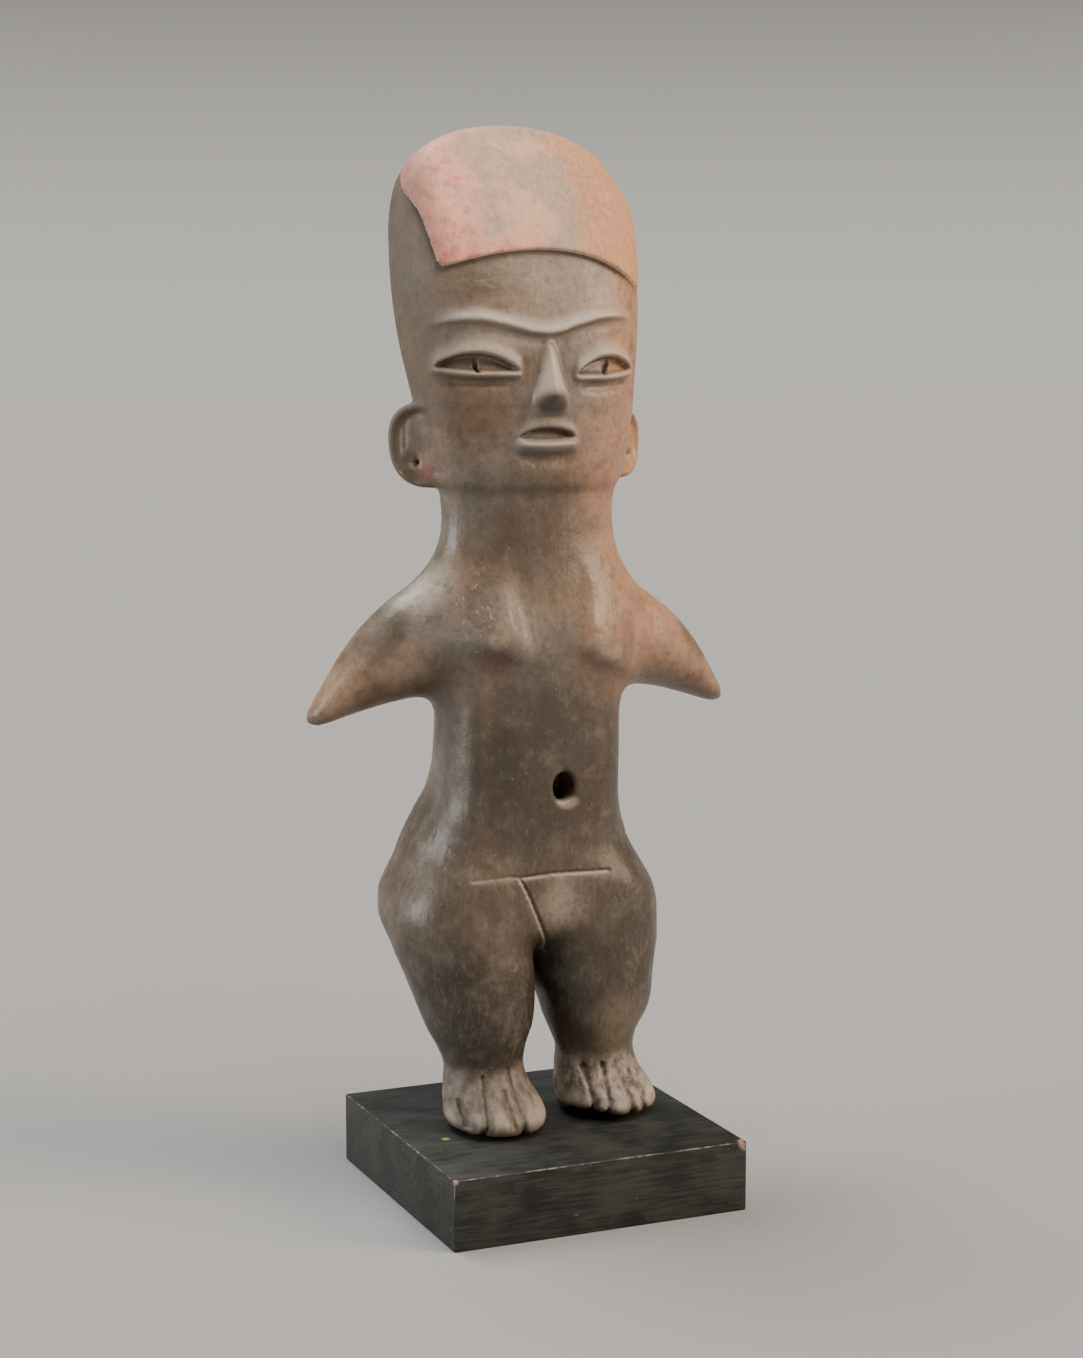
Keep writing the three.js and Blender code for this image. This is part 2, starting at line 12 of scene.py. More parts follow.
import bpy
import numpy as np
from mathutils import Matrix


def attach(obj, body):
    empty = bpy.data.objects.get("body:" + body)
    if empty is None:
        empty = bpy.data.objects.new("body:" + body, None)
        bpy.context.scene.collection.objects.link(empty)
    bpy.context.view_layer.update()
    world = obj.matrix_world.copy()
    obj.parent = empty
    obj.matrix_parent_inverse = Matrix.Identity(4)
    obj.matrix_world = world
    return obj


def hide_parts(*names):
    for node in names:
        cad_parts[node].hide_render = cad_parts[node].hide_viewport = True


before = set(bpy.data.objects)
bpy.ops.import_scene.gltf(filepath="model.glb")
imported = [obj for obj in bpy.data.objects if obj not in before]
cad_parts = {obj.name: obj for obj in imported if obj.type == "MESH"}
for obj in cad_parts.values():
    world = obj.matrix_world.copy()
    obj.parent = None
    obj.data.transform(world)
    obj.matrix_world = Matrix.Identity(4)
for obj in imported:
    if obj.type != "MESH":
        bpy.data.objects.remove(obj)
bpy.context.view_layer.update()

# %% [markdown]
# ## Camera
#
# The photograph looks from the figure's right front, a little above its middle. A camera could be
# placed by eye, but the board is a square of known proportions, so its visible corners fix the
# distance, the two angles and the focal length at once.

# %% Place the camera
AZIMUTH = -23.44
ELEVATION = 7.82
FOCAL_LENGTH = 70.39
CAMERA_AT = (-0.37472, -0.86552, 0.31697)
SENSOR_WIDTH = 36


def place_camera():
    data = bpy.data.cameras.new("camera")
    data.lens = FOCAL_LENGTH
    data.sensor_width = SENSOR_WIDTH
    data.clip_end = 20
    camera = bpy.data.objects.new("camera", data)
    camera.location = CAMERA_AT
    camera.rotation_euler = (math.radians(90 - ELEVATION), 0, math.radians(AZIMUTH))
    bpy.context.collection.objects.link(camera)
    bpy.context.scene.camera = camera


place_camera()
print("camera:", FOCAL_LENGTH, "mm lens at", CAMERA_AT, "metres")

# %% [markdown]
# ## Curves through a table of sections
#
# The potter built the body up in level rounds, and a stack of level sections describes it well.
# Spline curves would swell between the rows, so each column of a table gets a smooth curve that
# never overshoots, and a section can be asked for at any height. Sizes are in millimetres.

# %% Smooth curves through table columns
def column_curve(at, value):
    at = np.asarray(at, float)
    value = np.asarray(value, float)
    gap = np.diff(at)
    slope = np.diff(value) / gap
    tangent = np.zeros(len(at))
    tangent[0] = slope[0]
    tangent[-1] = slope[-1]
    for i in range(1, len(at) - 1):
        if slope[i - 1] * slope[i] > 0:
            w1 = 2 * gap[i] + gap[i - 1]
            w2 = gap[i] + 2 * gap[i - 1]
            tangent[i] = (w1 + w2) / (w1 / slope[i - 1] + w2 / slope[i])

    def curve(where):
        x = np.clip(where, at[0], at[-1])
        i = np.clip(np.searchsorted(at, x) - 1, 0, len(at) - 2)
        t = (x - at[i]) / gap[i]
        rise = t * t * (3 - 2 * t)
        lead = t * (1 - t) ** 2 * gap[i] * tangent[i]
        trail = t * t * (t - 1) * gap[i] * tangent[i + 1]
        return value[i] + rise * (value[i + 1] - value[i]) + lead + trail

    return curve


def table_curves(table):
    table = np.array(table, float)
    return [column_curve(table[:, 0], table[:, k]) for k in range(1, table.shape[1])]


print("a curve through 0, 4 and 10 mm, halfway between rows:", column_curve([0, 5, 10], [0, 4, 10])(2.5))

# %% Sections of the trunk, neck and head
# z, centre x, half width, front y, y of the widest point, back y, squareness in front, squareness behind
TRUNK = table_curves([
    [88, -0.4, 48.0, -4.0, 19.0, 43.0, 2.3, 2.2],
    [97, -0.6, 50.0, -8.5, 21.0, 47.0, 2.3, 2.2],
    [106, -1.0, 49.6, -10.8, 22.5, 49.5, 2.3, 2.2],
    [117, -1.4, 45.7, -12.0, 24.0, 50.5, 2.3, 2.2],
    [127, -2.0, 42.2, -12.3, 24.0, 49.0, 2.4, 2.3],
    [137, -1.7, 37.7, -12.5, 22.5, 45.5, 2.8, 2.4],
    [147, -0.9, 34.2, -12.8, 18.0, 40.5, 3.0, 2.5],
    [158, -0.6, 33.3, -12.6, 14.0, 37.0, 3.0, 2.5],
    [172, -0.4, 33.4, -11.8, 13.0, 35.5, 3.0, 2.5],
    [190, 0, 35.2, -10.5, 12.5, 34.5, 2.8, 2.4],
    [208, 0, 36.5, -8.5, 12.5, 33.5, 2.3, 2.3],
    [222, 0, 35.8, -7.0, 12.0, 32.0, 2.2, 2.2],
    [232, 0, 34.2, -6.2, 11.8, 30.5, 2.2, 2.2],
    [245, 0, 32.2, -5.5, 11.5, 28.8, 2.2, 2.2],
    [253.5, 0, 32.8, -5.4, 11.6, 29.0, 2.2, 2.2],
    [257.5, 0, 34.2, -7.4, 12.0, 29.6, 2.3, 2.3],
    [263, 0, 36.0, -8.0, 12.2, 30.5, 2.3, 2.3],
    [278, 0.3, 39.7, -8.4, 13.5, 34.0, 2.3, 2.4],
    [292, 0.5, 42.1, -8.2, 17.0, 38.5, 2.3, 2.5],
    [310, 0.6, 44.0, -7.4, 23.0, 43.0, 2.6, 2.7],
    [326, 0.6, 44.5, -5.0, 28.0, 46.0, 3.0, 3.0],
    [338, 0.3, 44.2, -1.4, 31.0, 46.4, 3.1, 3.2],
    [348, 0, 44.0, 3.9, 33.0, 46.0, 3.1, 3.2],
    [356, 0, 43.8, 9.1, 34.0, 45.2, 3.0, 3.0],
    [362, 0, 43.6, 13.9, 35.0, 44.6, 2.9, 3.0],
    [368, 0, 43.4, 18.9, 36.0, 43.6, 2.8, 3.0],
    [374, 0, 43.2, 24.1, 36.8, 42.4, 2.7, 2.8],
    [380, 0, 43.0, 29.4, 37.0, 41.2, 2.6, 2.6],
    [390, 0, 43.0, 34.0, 37.2, 40.0, 2.5, 2.5],
])
print("trunk: half width at hips and temples", TRUNK[1](100.0).round(1), TRUNK[1](320.0).round(1))

# %% Sections of a leg, and of an arm
# z, centre x, half width, front y, y of the widest point, back y, squareness in front, squareness behind
LEG = table_curves([
    [25.4, 22.8, 13.0, -16.5, 0.0, 19.0, 2.2, 2.0],
    [27.5, 23.2, 16.4, -21.0, 0.0, 20.5, 2.2, 2.0],
    [31, 23.4, 17.4, -22.2, 0.0, 21.0, 2.2, 2.1],
    [36, 23.3, 17.0, -18.4, 1.0, 20.5, 2.2, 2.1],
    [42, 23.2, 15.2, -13.2, 2.4, 19.0, 2.2, 2.1],
    [48.5, 23.2, 14.4, -10.4, 3.0, 17.5, 2.1, 2.0],
    [55, 23.0, 16.0, -11.5, 4.0, 19.5, 2.1, 2.1],
    [62, 23.0, 19.2, -13.0, 5.0, 24.5, 2.2, 2.1],
    [70, 23.2, 21.4, -13.6, 7.0, 30.0, 2.2, 2.1],
    [80, 24.0, 23.4, -13.6, 10.0, 35.5, 2.2, 2.1],
    [90, 25.4, 24.8, -13.0, 14.0, 41.5, 2.2, 2.1],
    [102, 26.1, 25.5, -12.9, 19.0, 46.5, 2.5, 2.2],
    [108, 25.4, 25.0, -12.9, 20.0, 47.5, 2.5, 2.2],
    [115, 24.2, 22.4, -12.4, 21.0, 47.0, 2.4, 2.2],
    [128, 20.0, 16.0, -6.0, 20.0, 38.0, 2.2, 2.2],
])

# x, top z, underside z, front y, back y
ARM = table_curves([
    [22, 235.0, 184.0, -5.5, 31.0],
    [34, 228.0, 182.0, -4.0, 31.0],
    [44, 221.5, 181.5, -2.0, 30.5],
    [52, 216.0, 180.3, 0.0, 29.5],
    [60, 208.8, 178.3, 3.0, 28.5],
    [68, 199.0, 175.8, 6.5, 27.0],
    [74, 189.6, 173.8, 9.6, 25.5],
    [78.5, 182.2, 172.9, 12.4, 23.8],
    [81, 178.0, 173.6, 15.2, 21.4],
    [81.9, 176.3, 174.9, 17.0, 19.4],
])
print("leg: half width at the ankle", LEG[1](48.5).round(1), "and at the thigh", LEG[1](102.0).round(1))

# %% [markdown]
# ## The skin as a distance
#
# Limbs and body are one lump of clay whose joins were smoothed with a wet finger. Separate lofts
# would show a seam there, so the body is a field instead: negative inside the clay, positive
# outside. Two fields can be joined or cut with a soft seam, which is just what a wet finger does.

# %% Soft steps, soft joins and an oval section
def ease(t):
    t = np.clip(t, 0, 1)
    return t * t * (3 - 2 * t)


def bell(t):
    return np.exp(-t * t)


def soft_union(a, b, seam):
    h = np.maximum(seam - np.abs(a - b), 0) / seam
    return np.minimum(a, b) - h * h * seam / 4


def soft_cut(a, b, seam):
    return -soft_union(-a, -b, seam)


def oval(across, along, half_width, front, middle, back, square_front, square_back):
    """Distance to an oval whose front and back halves have their own depth and squareness."""
    ahead = along < middle
    depth = np.where(ahead, middle - front, back - middle)
    n = np.where(ahead, square_front, square_back)
    u = np.abs(across) / half_width
    v = np.abs(along - middle) / depth
    r = np.maximum((u ** n + v ** n) ** (1 / n), 1e-3)
    grow = np.hypot(u ** (n - 1) / half_width, v ** (n - 1) / depth) * r ** (1 - n)
    return (r - 1) / np.maximum(grow, 1e-4)


print("two planes 4 mm deep, joined over 6.5 mm:", soft_union(-4.0, -4.0, 6.5))

# %% The trunk
CROTCH_TOP = 111
CROTCH_FOOT = 88
CROTCH_SIDE = 3.0


def trunk_section(x, y, z):
    centre, half_width, front, middle, back, nf, nb = [curve(z) for curve in TRUNK]
    low = np.clip((CROTCH_TOP - z) / (CROTCH_TOP - CROTCH_FOOT), 0, 1)
    narrow = 1 - 0.9 * low ** 1.3
    return oval(x - centre - CROTCH_SIDE * low, y, half_width * narrow, front, middle, back, nf, nb)


def trunk_field(x, y, z):
    """The level distance is shortened where the surface slopes, as on the crown."""
    level = trunk_section(x, y, z)
    steep = (trunk_section(x, y, z + 0.5) - trunk_section(x, y, z - 0.5))
    d = level / np.sqrt(1 + steep * steep)
    return soft_cut(d, CROTCH_FOOT + 0.5 - z, 8)


print("the chest's front lies at y =", round(float(-12.6 - trunk_field(-0.6, -12.6, 158.0)), 2))

# %% The crown's arch
CROWN_SPRING = 338.0
CROWN_TOP = 384.0
CROWN_HALF_WIDTH = 47.0
CROWN_SHIFT = -0.6
CROWN_DIP = 2.9
CROWN_LIP = 1.4


def crown_arch(x, z):
    """Distance to the arch that the crown's outline follows, seen from the front; its left shoulder dips."""
    dip = CROWN_DIP * bell((z - 364) / 6) * (x > 0)
    arch = oval(x - CROWN_SHIFT + dip, z, CROWN_HALF_WIDTH, -900.0, CROWN_SPRING, CROWN_TOP, 2.3, 2.3)
    return np.where(z < 300, -99, arch - 9 * ease((CROWN_SPRING + 4 - z) / 16))


print("the arch tops out at", CROWN_TOP, "mm")

# %% The arms
def arm_field(x, y, z):
    along = np.abs(x)
    top, under, front, back = [curve(along) for curve in ARM]
    top = top - np.where(x > 0, 2.8 * bell((along - 48) / 16), 0)
    middle = (front + back) / 2
    d = oval(z - (top + under) / 2, y, (top - under) / 2, front, middle, back, 2.0, 2.0)
    return np.maximum(np.maximum(d, 20 - along), along - 81.8)


print("the arms reach", ARM[0](81.9).round(1), "mm high at their tips")

# %% The legs, joined to the rest
ANKLE_SHIFT = 1.1
FOOT_SHIFT = 2.3
FOOT_LEAD = 3.0
CALF_SHIFT = 1.4
HIP_SHIFT = 1.6
TOE_LIFT_LEFT = 2.0
TOE_LIFT_RIGHT = 1.1
BIG_TOE_LIFT = 1.9
SOLE = 25.7
LEG_SEAM = 6.5
ARM_SEAM = 10


def leg_shift(x, z):
    """The legs stand a little to the figure's left; its left calf bulges more."""
    low = ANKLE_SHIFT * ease((60 - z) / 16) + FOOT_SHIFT * ease((46 - z) / 14)
    calf = CALF_SHIFT * bell((z - 66) / 9) * (x > 0)
    return low + calf - HIP_SHIFT * ease((z - 88) / 14)


def foot_lead(x, z):
    return np.sign(x) * FOOT_LEAD * ease((80 - z) / 35)


def leg_field(x, y, z):
    centre, half_width, front, middle, back, nf, nb = [curve(z) for curve in LEG]
    ahead = y - foot_lead(x, z)
    side = np.where(x < 0, -1, 1)
    d = oval(x - leg_shift(x, z) - side * centre, ahead, half_width, front, middle, back, nf, nb)
    left_foot = TOE_LIFT_LEFT + BIG_TOE_LIFT * ease((26 - x) / 12)
    lift = np.where(x > 0, left_foot, TOE_LIFT_RIGHT) * ease((7 - ahead) / 16)
    d = soft_cut(d, SOLE + lift - z, 2.4)
    return np.maximum(d, z - 127)


def skin(p):
    x, y, z = p[..., 0], p[..., 1], p[..., 2]
    d = soft_union(trunk_field(x, y, z), leg_field(x, y, z), LEG_SEAM)
    return soft_union(d, arm_field(x, y, z), ARM_SEAM)


print("a point in the chest is", round(float(-skin(np.array([0.0, 12.0, 190.0]))), 1), "mm deep")

# %% [markdown]
# ## Eyes
#
# Each eye is a slot cut with a blade, a pinched lid over it, a ledge under it, and a pupil nicked
# down through the ledge. It could be cut out of the mesh with a solid, but that leaves hard edges.
# Here each feature says how far the skin is raised or sunk at a place on the front, so all of them
# can be summed and keep the softness of modelled clay.

# %% Eyes and pupils
EYE_INNER, EYE_OUTER, EYE_FLOOR = (10.9, 10.2), (38.6, 35.2), (297.3, 295.9)
EYE_OPENING = 6.2
LID_RISE = 1.7
PUPIL_AT, PUPIL_FOOT, PUPIL_HEIGHT, PUPIL_WIDTH = (-25.4, 23.0), (296.9, 295.8), 5.8, 0.7


def eye_frame(x):
    """u runs from -1 at the inner corner to 1 at the outer one; the two eyes differ a little."""
    inner, outer, floor = [np.where(x < 0, *pair) for pair in (EYE_INNER, EYE_OUTER, EYE_FLOOR)]
    u = (2 * np.abs(x) - outer - inner) / (outer - inner)
    floor = floor + 0.7 * np.clip(u + 0.2, 0, 1.5) ** 2 * 1.6
    inside = np.clip(1 - u * u, 0, 1)
    return u, floor, floor + EYE_OPENING * inside ** 0.9 * (1 + 0.12 * u), inside


def eye(x, z):
    u, floor, top, inside = eye_frame(x)
    near = ease((1.12 - np.abs(u)) / 0.2)
    height = np.clip((z - floor) / np.maximum(top - floor, 0.5), 0, 1)
    slot = -(0.8 + 2.1 * height) * inside ** 0.3 * ease((z - floor) / 0.8) * ease((top - z) / 0.9)
    under_lid = LID_RISE * bell((z - floor + 1.1) / 1.2) * near
    bag = -1.2 * bell((z - floor + 4.4) / 1.8) * ease((1.0 - np.abs(u)) / 0.5)
    above = z - top
    over_lid = LID_RISE * np.where(above > 1.0, bell((above - 1.0) / 3.2), bell((above - 1.0) / 1.2)) * near
    return slot + under_lid + bag + over_lid


def pupil(x, z):
    """A slit nicked down through the lower lid."""
    middle = np.where(x < 0, PUPIL_AT[0], PUPIL_AT[1] + 0.5 * np.clip(z - 297, -1, 3.5))
    foot = np.where(x < 0, *PUPIL_FOOT)
    return (bell((x - middle) / PUPIL_WIDTH) * ease((z - foot + 0.4) / 0.8)
            * ease((foot + PUPIL_HEIGHT - z) / 2.6))


def reach_of(feature, x_span, z_span):
    """The lowest and the highest value of a feature over a window of the front, in mm."""
    x, z = np.meshgrid(np.linspace(*x_span, 160), np.linspace(*z_span, 160))
    value = feature(x, z)
    return round(float(value.min()), 2), round(float(value.max()), 2)


print("eyes, lowest and highest:", reach_of(eye, (-40, 40), (290, 310)))

# %% [markdown]
# ## Brow, nose and mouth
#
# The brow is one ridge in the shape of a bird's wings, pressed up from below so that its underside is
# the steeper one. The nose is a tent that ends in a blunt dome, and the mouth is an open slot
# between two lips. All three follow a curve or a small table across the face.

# %% Brow and nose
BROW_LINE = column_curve([-42, -34, -28, -23, -18, -12, -7, 0, 5, 9, 15, 21, 28, 34, 42],
                         [312.6, 315.2, 315.6, 315.2, 314.2, 312.8, 311.5, 310.9, 311.6, 313.1, 314.7,
                          316.1, 316.5, 315.7, 312.6])


def brow(x, z):
    up = z - BROW_LINE(x)
    near = np.where(x < 0, ease((41 + x) / 11), ease((38 - x) / 14))
    crest = 2.2 * np.where(up > 0, bell(up / 2.8), bell(up / 1.2))
    hollow = -0.7 * bell((up + 3.2) / 2.0) * ease((34 - np.abs(x)) / 20)
    return near * (crest + hollow)


def nose(x, z):
    height = np.interp(z, [281.4, 282.4, 285.5, 289.2, 291, 297, 305, 310],
                       [0, 0.9, 3.2, 6.1, 6.0, 4.1, 1.7, 0])
    half = np.interp(z, [281.4, 285.5, 290, 297, 305, 310], [7.2, 7.6, 6.9, 4.8, 2.8, 2.2])
    across = np.clip(np.abs(x - 0.2) / half, 0, 1)
    tent = np.clip((1 - np.sqrt(across ** 2 + 0.02)) * 1.18, 0, 1)
    dome = (1 - across ** 2) ** 0.75
    return height * (tent + (dome - tent) * ease((293 - z) / 8))


print("brow:", reach_of(brow, (-42, 42), (300, 322)), "nose:", reach_of(nose, (-9, 9), (280, 310)))

# %% Mouth
MOUTH_MIDDLE, MOUTH_HALF, MOUTH_FLOOR = -0.8, 11.0, 273.3


def mouth(x, z):
    u = (x - MOUTH_MIDDLE) / MOUTH_HALF
    inside = np.clip(1 - u * u, 0, 1)
    floor = MOUTH_FLOOR + 0.6 * u * u
    top = floor + 4.3 * inside ** 0.7
    near = ease((1.25 - np.abs(u)) / 0.4)
    height = np.clip((z - floor) / np.maximum(top - floor, 0.5), 0, 1)
    slot = -(0.9 + 2.6 * height) * inside ** 0.35 * ease((z - floor) / 0.9) * ease((top - z) / 0.9)
    down = z - floor + 1.7
    lower = 3.1 * np.where(down > 0, bell(down / 1.5), bell(down / 2.4)) * near * (1 - 0.35 * u * u)
    under = -1.3 * bell((z - floor + 7.0) / 2.6) * ease((1.2 - np.abs(u)) / 0.6)
    above = z - top - 0.9
    upper = 0.8 * np.where(above > 0, bell(above / 1.8), bell(above / 0.9)) * near
    return slot + lower + under + upper


print("mouth:", reach_of(mouth, (-14, 14), (262, 282)))

# %% [markdown]
# ## Chest and flank
#
# The breasts are low mounds on a shared shelf, steep below and fading upwards. The front of the
# torso ends at its right in a soft arris with a shallow dish inside it. These are too low to be
# worth sections of their own, so they are added to the front as relief too.

# %% Breasts and the arris of the flank
# Middle x, lowest z, height, half width, and how far the foot falls per mm across.
BREASTS = [(-23.0, 203.0, 3.8, 12.5, -0.2), (20.0, 197.5, 3.3, 14.5, -0.45)]
SHELF_FOOT = 197
FLANK_LINE = column_curve([124, 132, 146, 164, 179, 195, 205, 214],
                          [-32, -31, -29.6, -28.4, -27.2, -26.3, -27.3, -30])
ARRIS_RISE, DISH_DEPTH = 1.4, 0.6


def breast(x, z):
    """Two low mounds that share a shelf across the chest; the left one hangs a little lower."""
    raised = 0
    for middle, lowest, height, width, lean in BREASTS:
        up = z - lowest - lean * (x - middle)
        fall = np.where(up > 0, bell(up / 17), bell(up / 5.0))
        raised = raised + height * fall * np.exp(-np.abs((x - middle) / width) ** 2.2)
    up = z - SHELF_FOOT
    shelf = 1.0 * np.where(up > 0, bell(up / 16), bell(up / 5.0)) * ease((30 - np.abs(x)) / 12)
    return raised + shelf


def flank(x, z):
    """The front of the torso ends at its right in a soft arris, and is dished just inside it."""
    beyond = x - FLANK_LINE(z)
    arris = ARRIS_RISE * np.where(beyond < 0, bell(beyond / 5.0), bell(beyond / 3.8))
    dish = -DISH_DEPTH * bell((beyond - 8) / 6)
    return (arris + dish) * ease((z - 124) / 18) * ease((212 - z) / 10)


print("breasts:", reach_of(breast, (-40, 40), (180, 245)), "flank:", reach_of(flank, (-40, -10), (124, 212)))

# %% [markdown]
# ## Incised lines and the fold of the belly
#
# Two lines were drawn into the damp clay with a point, about a millimetre wide, one across the foot
# of the belly and one down the right groin. A carved curve object would be one more piece to cut,
# so the depth comes from the distance to a line on the front. The belly tucks in just above.

# %% Incised lines and belly fold
BELT_LINE = [(-30.7, 118.0), (-16.5, 118.5), (-11.4, 117.7), (0.4, 118.4), (21.8, 117.9)]
GROIN_LINE = [(-12.7, 117.6), (-8.5, 109.6), (-4.2, 100.8), (-1.4, 95.4), (0.4, 92.1), (2.6, 86)]
LINE_HALF_WIDTH = 0.5
FOLD_AT, FOLD_DEPTH = 118.2, 0.8


def off_line(x, z, line):
    """Distance from a line drawn on the front."""
    nearest = np.full(np.shape(x), 99.0)
    for (x0, z0), (x1, z1) in zip(line[:-1], line[1:]):
        dx, dz = x1 - x0, z1 - z0
        t = np.clip(((x - x0) * dx + (z - z0) * dz) / (dx * dx + dz * dz), 0, 1)
        nearest = np.minimum(nearest, np.hypot(x - x0 - t * dx, z - z0 - t * dz))
    return nearest


def line_depth(x, z):
    """1 at the bottom of an incised line, 0 beside it; the belt line is faint on its right."""
    belt = bell(off_line(x, z, BELT_LINE) / LINE_HALF_WIDTH) * (0.3 + 0.7 * ease((x + 13) / 3))
    groin = bell(off_line(x, z, GROIN_LINE) / LINE_HALF_WIDTH) * ease((z - 86) / 5)
    return np.maximum(belt, groin)


def belly_fold(x, z):
    """The belly tucks in above the incised line."""
    up = z - FOLD_AT
    tuck = np.where(up > 0, bell(up / 6.5), bell(up / 2.0))
    return -FOLD_DEPTH * tuck * ease((32 - np.abs(x)) / 12) * (0.4 + 0.6 * ease((x + 16) / 10))


print("lines:", reach_of(line_depth, (-32, 24), (84, 120)))
print("fold:", reach_of(belly_fold, (-34, 34), (100, 140)), "mm")

# %% [markdown]
# ## Toes
#
# The toes are not modelled one by one: grooves pressed into the front of each foot part them, and
# two of the left foot's grooves start in a pricked hole. The same distance to a line serves here.

# %% Toe grooves and pricked holes
# Grooves between the toes, as (x, z) at the instep and at the tip: four on each foot.
TOE_GROOVES = [
    [(-35.5, 38), (-34.6, 30)], [(-27.9, 46.6), (-30.0, 27)],
    [(-21.4, 41.5), (-20.6, 31)], [(-18.4, 49), (-16.6, 27)],
    [(15.0, 44), (15.6, 27)], [(21.6, 44.4), (19.6, 27)],
    [(26.4, 45), (28.6, 29)], [(31.0, 43), (34.6, 29)],
]
TOE_DEPTH, TOE_SWELL = 1.3, 0.5
PITS = [(15.0, 43.9), (21.6, 44.4)]
PIT_DEPTH, PIT_RADIUS = 2.4, 0.85


def toes(x, y, z):
    nearest = np.full(np.shape(x), 99.0)
    for groove in TOE_GROOVES:
        nearest = np.minimum(nearest, off_line(x, z, groove))
    ahead = y - foot_lead(x, z)
    swell = TOE_SWELL * bell((z - 31.5) / 4.5) * ease((nearest - 1.0) / 2.5)
    return (swell - TOE_DEPTH * bell(nearest / 0.7)) * ease((6 - ahead) / 8)


def pits(x, z):
    """The two holes pricked at the top of the left foot's grooves."""
    return -PIT_DEPTH * sum(bell(np.hypot(x - a, (z - b) / 1.4) / PIT_RADIUS) for a, b in PITS)


print("pricked holes:", reach_of(pits, (12, 25), (40, 48)), "mm, at", len(PITS), "places")

# %% [markdown]
# ## The headdress panel
#
# A convex shield of extra clay lies on the sloping front of the crown. It has an arched lower edge
# and slanted sides, and stands a little proud of the forehead and of the side facets behind it.
# A separate sheet would leave a gap, so the skin itself is thickened inside the panel's outline.

# %% Headdress panel
PANEL = 2.4
PANEL_WRAP = 6.0
PANEL_THINS = 1.0
PANEL_FOOT, PANEL_ARCH, PANEL_TILT, PANEL_REACH = 339.4, 9.5, 2.75, 38
PANEL_SIDE = column_curve([320, 327, 332.5, 338.4, 345, 351, 355, 358.4, 361.7, 364.5, 368, 376, 392],
                          [-6, -0.5, 2.8, 5.6, 9.3, 13.1, 16.6, 20.6, 26, 31, 34.5, 36.5, 37])


def panel_edges(x, y, z):
    """How far inside the panel's lower edge and its side edge a point lies."""
    u = x / PANEL_REACH
    low = PANEL_FOOT - PANEL_ARCH * np.abs(u) ** 2.2 - PANEL_TILT * u ** 3
    fall = (PANEL_ARCH * 2.2 * np.abs(u) ** 1.2 + PANEL_TILT * 3 * np.sign(x) * u ** 2) / PANEL_REACH
    side = PANEL_SIDE(z) + PANEL_WRAP * (x > 0) * ease((364 - z) / 10)
    lean = PANEL_SIDE(z + 0.5) - PANEL_SIDE(z - 0.5)
    return (z - low) / np.sqrt(1 + fall * fall), (side - y) / np.sqrt(1 + lean * lean)


def panel_cover(x, y, z):
    above, ahead = panel_edges(x, y, z)
    return ease(above / 0.8 + 0.5) * ease(ahead / 0.8 + 0.5)


def add_panel(d, x, y, z):
    above, ahead = panel_edges(x, y, z)
    thinner = PANEL_THINS * ease((x - 28) / 10) * ease((348 - z) / 16)
    slab = soft_cut(soft_cut(d - PANEL + thinner, -above, 1.4), -ahead, 1.4)
    arch = crown_arch(x, z)
    return soft_union(soft_cut(d, arch + CROWN_LIP, 5), soft_cut(slab, arch, 1.6), 1.0)


print("panel:", PANEL, "mm thick, its lower edge at z =", PANEL_FOOT)

# %% [markdown]
# ## Ears and navel
#
# The ears are D-shaped flaps pressed on at the head's back corners, turned half forward. The rim
# stands up, two strokes run down inside it, and the lobe has a dimple with a small hole. A flap is
# easy to write in its own axes: outwards, forwards and up. The navel is bored straight in.

# %% Ears
EAR_AT = (38.0, 12.5, 271.0)
LEFT_EAR_SIZE, LEFT_EAR_IN, LEFT_EAR_DOWN = 0.81, 1.0, 0.8
EAR_OUT = (0.76, 0.65)
EAR_WIDE, EAR_HIGH, EAR_REACH = 14.1, 15.1, 13
EAR_HALF_THICK = 2.5


def ear_axes(p):
    left = p[..., 0] > 0
    across = np.abs(p[..., 0]) - EAR_AT[0] + LEFT_EAR_IN * left
    along = p[..., 1] - EAR_AT[1]
    smaller = np.where(left, LEFT_EAR_SIZE, 1.0)
    out = (across * EAR_OUT[0] + along * EAR_OUT[1]) / smaller
    facing = across * EAR_OUT[1] - along * EAR_OUT[0]
    return out, facing, (p[..., 2] - EAR_AT[2] + LEFT_EAR_DOWN * left) / smaller


def ear_field(p):
    out, facing, up = ear_axes(p)
    r = (np.abs((out - 0.08 * up) / EAR_WIDE) ** 2.4 + np.abs((up - 0.3) / EAR_HIGH) ** 2.4) ** (1 / 2.4)
    edge = (r - 1) * EAR_REACH
    rim = 0.9 * bell((edge + 1.3) / 1.3)
    grooves = -0.8 * bell((edge + 3.6) / 1.1) * ease((up + 6) / 6)
    strokes = -0.5 * bell((out - 7.6) / 0.7) * ease((up + 3) / 4) * ease((12 - up) / 4)
    dimple = -1.4 * bell(np.hypot(out - 5.0, up + 5.2) / 2.7)
    hole = -1.7 * bell(np.hypot(out - 3.7, (up + 6.0) / 1.5) / 1.0)
    lobe = 1.0 * bell(np.hypot(out - 6.0, up + 8.8) / 2.6)
    front = np.where(facing > 0, rim + grooves + strokes + dimple + hole + lobe, 0)
    return soft_cut(edge, np.abs(facing + 0.4) - EAR_HALF_THICK - front, 1.8)


print("ears:", EAR_WIDE, "by", EAR_HIGH, "mm from their middle; the left one is", LEFT_EAR_SIZE, "as large")

# %% Navel
NAVEL = (4.2, 149.8)
NAVEL_RADIUS, NAVEL_DEEPEST = 4.3, 1.5


